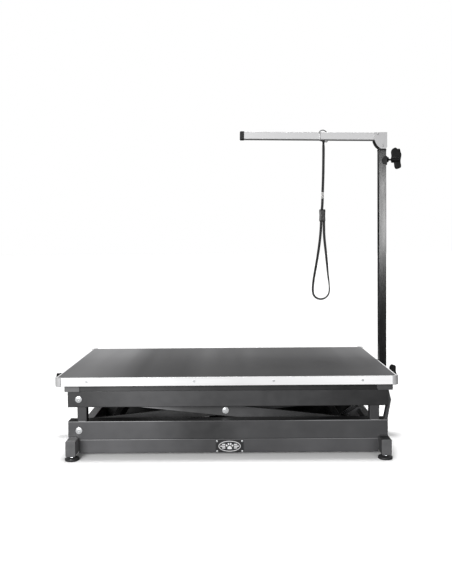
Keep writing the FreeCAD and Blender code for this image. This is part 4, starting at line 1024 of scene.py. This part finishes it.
# ------------------------------------------------------------------ lead screw with a real thread, motor ribs
def thread_screw():
    lo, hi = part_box("lead_screw")
    z = (lo.z + hi.z) / 2
    r, root, pitch, seg = 0.00795, 0.0066, 0.004, 20
    x0, x1 = lo.x + 0.020, hi.x - 0.012
    bm = bmesh.new()
    rings = []

    def ring(x, f):
        out = []
        for j in range(seg):
            a = 2 * math.pi * j / seg
            out.append(Vector((x, math.cos(a) * f(a), z + math.sin(a) * f(a))))
        return out
    plain = lambda a: r
    for x in (lo.x, lo.x + 0.0004):
        rings.append(ring(x, (lambda a: r - 0.0005) if x == lo.x else plain))
    rings.append(ring(x0 - 0.0005, plain))
    n = int((x1 - x0) / pitch * 6)
    for i in range(n + 1):
        x = x0 + (x1 - x0) * i / n

        def f(a, x=x):
            ph = ((x - x0) / pitch - a / (2 * math.pi)) % 1.0
            if ph < 0.30:
                q = 1.0
            elif ph < 0.45:
                q = 1 - (ph - 0.30) / 0.15
            elif ph < 0.80:
                q = 0.0
            else:
                q = (ph - 0.80) / 0.20
            return root + (r - root) * q
        rings.append(ring(x, f))
    rings.append(ring(x1 + 0.0005, lambda a: root))
    rings.append(ring(hi.x - 0.0004, lambda a: root))
    rings.append(ring(hi.x, lambda a: root - 0.0004))
    ring_loft(bm, rings)
    ob = mesh_object("drive_screw", bm, "lead_screw", SCREW, smooth=30)
    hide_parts("lead_screw")


thread_screw()


def lathe_x(bm, cx, cy, cz, prof, seg=40):
    """A turned shape about an axis along X; prof is (x, radius)."""
    rings = []
    for x, r in prof:
        rings.append([Vector((cx + x, cy + math.cos(2 * math.pi * j / seg) * r, cz + math.sin(2 * math.pi * j / seg) * r)) for j in range(seg)])
    ring_loft(bm, rings)


bm = bmesh.new()
mx, mz = -0.0075, 0.082
for i in range(9):
    x = -0.052 + i * 0.0118
    lathe_x(bm, mx + x, 0, mz, [(0, 0.0325), (0.0004, 0.0352), (0.0032, 0.0352), (0.0036, 0.0325)], 48)
lathe_x(bm, mx - 0.0745, 0, mz, [(0, 0.019), (0, 0.0215), (0.001, 0.0228), (0.0032, 0.0234), (0.0032, 0.019)], 40)
mesh_object("motor_ribs", bm, "base", CASTING, smooth=35)
bm = bmesh.new()
for y in (-0.0354, 0.0354):
    for z in (0.040, 0.108):
        g = [(0.0, 0.0044), (0.0006, 0.0044), (0.0013, 0.0038), (0.0013, 0.0022), (0.0004, 0.0020)]
        lathe_x(bm, 0.1175, y, z, g, 20)
for y in (-0.018, 0.018):
    for z in (mz - 0.018, mz + 0.018):
        lathe_x(bm, mx - 0.0640, y * 1.45, mz + (z - mz) * 1.3, [(0.002, 0.0030), (-0.0018, 0.0030), (-0.0024, 0.0022), (-0.0012, 0.0014)], 16)
mesh_object("motor_screws", bm, "base", ZINC, smooth=35)

# ------------------------------------------------------------------ floor, light, sky
floor = bpy.data.meshes.new("floor")
floor.from_pydata([(-40, -40, 0), (40, -40, 0), (40, 40, 0), (-40, 40, 0)], [], [(0, 1, 2, 3)])
FLOOR = link(bpy.data.objects.new("floor", floor))
fm = bpy.data.materials.new("floor_white")
fm.use_nodes = True
t = fm.node_tree
t.nodes.clear()
out = t.nodes.new("ShaderNodeOutputMaterial")
seen = t.nodes.new("ShaderNodeBsdfDiffuse")
seen.inputs["Color"].default_value = (0.97, 0.97, 0.97, 1)
bounce = t.nodes.new("ShaderNodeBsdfDiffuse")
bounce.inputs["Color"].default_value = (0.05, 0.05, 0.05, 1)
lp = t.nodes.new("ShaderNodeLightPath")
mixn = t.nodes.new("ShaderNodeMixShader")
t.links.new(lp.outputs["Is Camera Ray"], mixn.inputs[0])
t.links.new(bounce.outputs[0], mixn.inputs[1])
t.links.new(seen.outputs[0], mixn.inputs[2])
t.links.new(mixn.outputs[0], out.inputs[0])
floor.materials.append(fm)


def area(name, at, aim, size, power, size_y=None):
    l = bpy.data.lights.new(name, "AREA")
    l.shape = "RECTANGLE"
    l.size, l.size_y = size, size_y or size
    l.energy = power
    ob = link(bpy.data.objects.new(name, l))
    ob.location = at
    ob.rotation_euler = (Vector(aim) - Vector(at)).to_track_quat("-Z", "Y").to_euler()
    return ob


def sun(name, tilt_x, tilt_y, spread, strength):
    l = bpy.data.lights.new(name, "SUN")
    l.energy, l.angle = strength, math.radians(spread)
    ob = link(bpy.data.objects.new(name, l))
    ob.rotation_euler = (math.radians(tilt_x), math.radians(tilt_y), 0)
    return ob


sun("overhead", -4.0, 0.0, 18.0, 3.3)
area("front_left_box", (-1.35, -3.4, 1.15), (0, 0, 0.30), 1.8, 146.0, 1.3)
area("post_strip", (1.36, -3.0, 1.04), (0.64, 0.0, 1.04), 0.55, 19.0, 0.80)

w = bpy.data.worlds.new("studio")
SC.world = w
w.use_nodes = True
t = w.node_tree
t.nodes.clear()
out = t.nodes.new("ShaderNodeOutputWorld")
sky = t.nodes.new("ShaderNodeBackground")
white = t.nodes.new("ShaderNodeBackground")
white.inputs[0].default_value, white.inputs[1].default_value = (1, 1, 1, 1), 1.0
tc = t.nodes.new("ShaderNodeTexCoord")
sep = t.nodes.new("ShaderNodeSeparateXYZ")
ramp = t.nodes.new("ShaderNodeValToRGB")
ramp.color_ramp.elements[0].position, ramp.color_ramp.elements[0].color = 0.15, (0.04, 0.04, 0.04, 1)
ramp.color_ramp.elements[1].position, ramp.color_ramp.elements[1].color = 0.75, (0.30, 0.30, 0.30, 1)
half = t.nodes.new("ShaderNodeMapRange")
half.inputs["From Min"].default_value, half.inputs["From Max"].default_value = -1.0, 1.0
t.links.new(tc.outputs["Generated"], sep.inputs[0])
t.links.new(sep.outputs["Y"], half.inputs["Value"])
t.links.new(half.outputs[0], ramp.inputs[0])
low = t.nodes.new("ShaderNodeMapRange")
for key, val in (("From Min", 0.09), ("From Max", 0.17), ("To Min", 0.06), ("To Max", 1.0)):
    low.inputs[key].default_value = val
t.links.new(sep.outputs["Z"], low.inputs["Value"])
t.links.new(low.outputs[0], sky.inputs[1])
t.links.new(ramp.outputs[0], sky.inputs[0])
lp = t.nodes.new("ShaderNodeLightPath")
mixn = t.nodes.new("ShaderNodeMixShader")
t.links.new(lp.outputs["Is Camera Ray"], mixn.inputs[0])
t.links.new(sky.outputs[0], mixn.inputs[1])
t.links.new(white.outputs[0], mixn.inputs[2])
t.links.new(mixn.outputs[0], out.inputs[0])
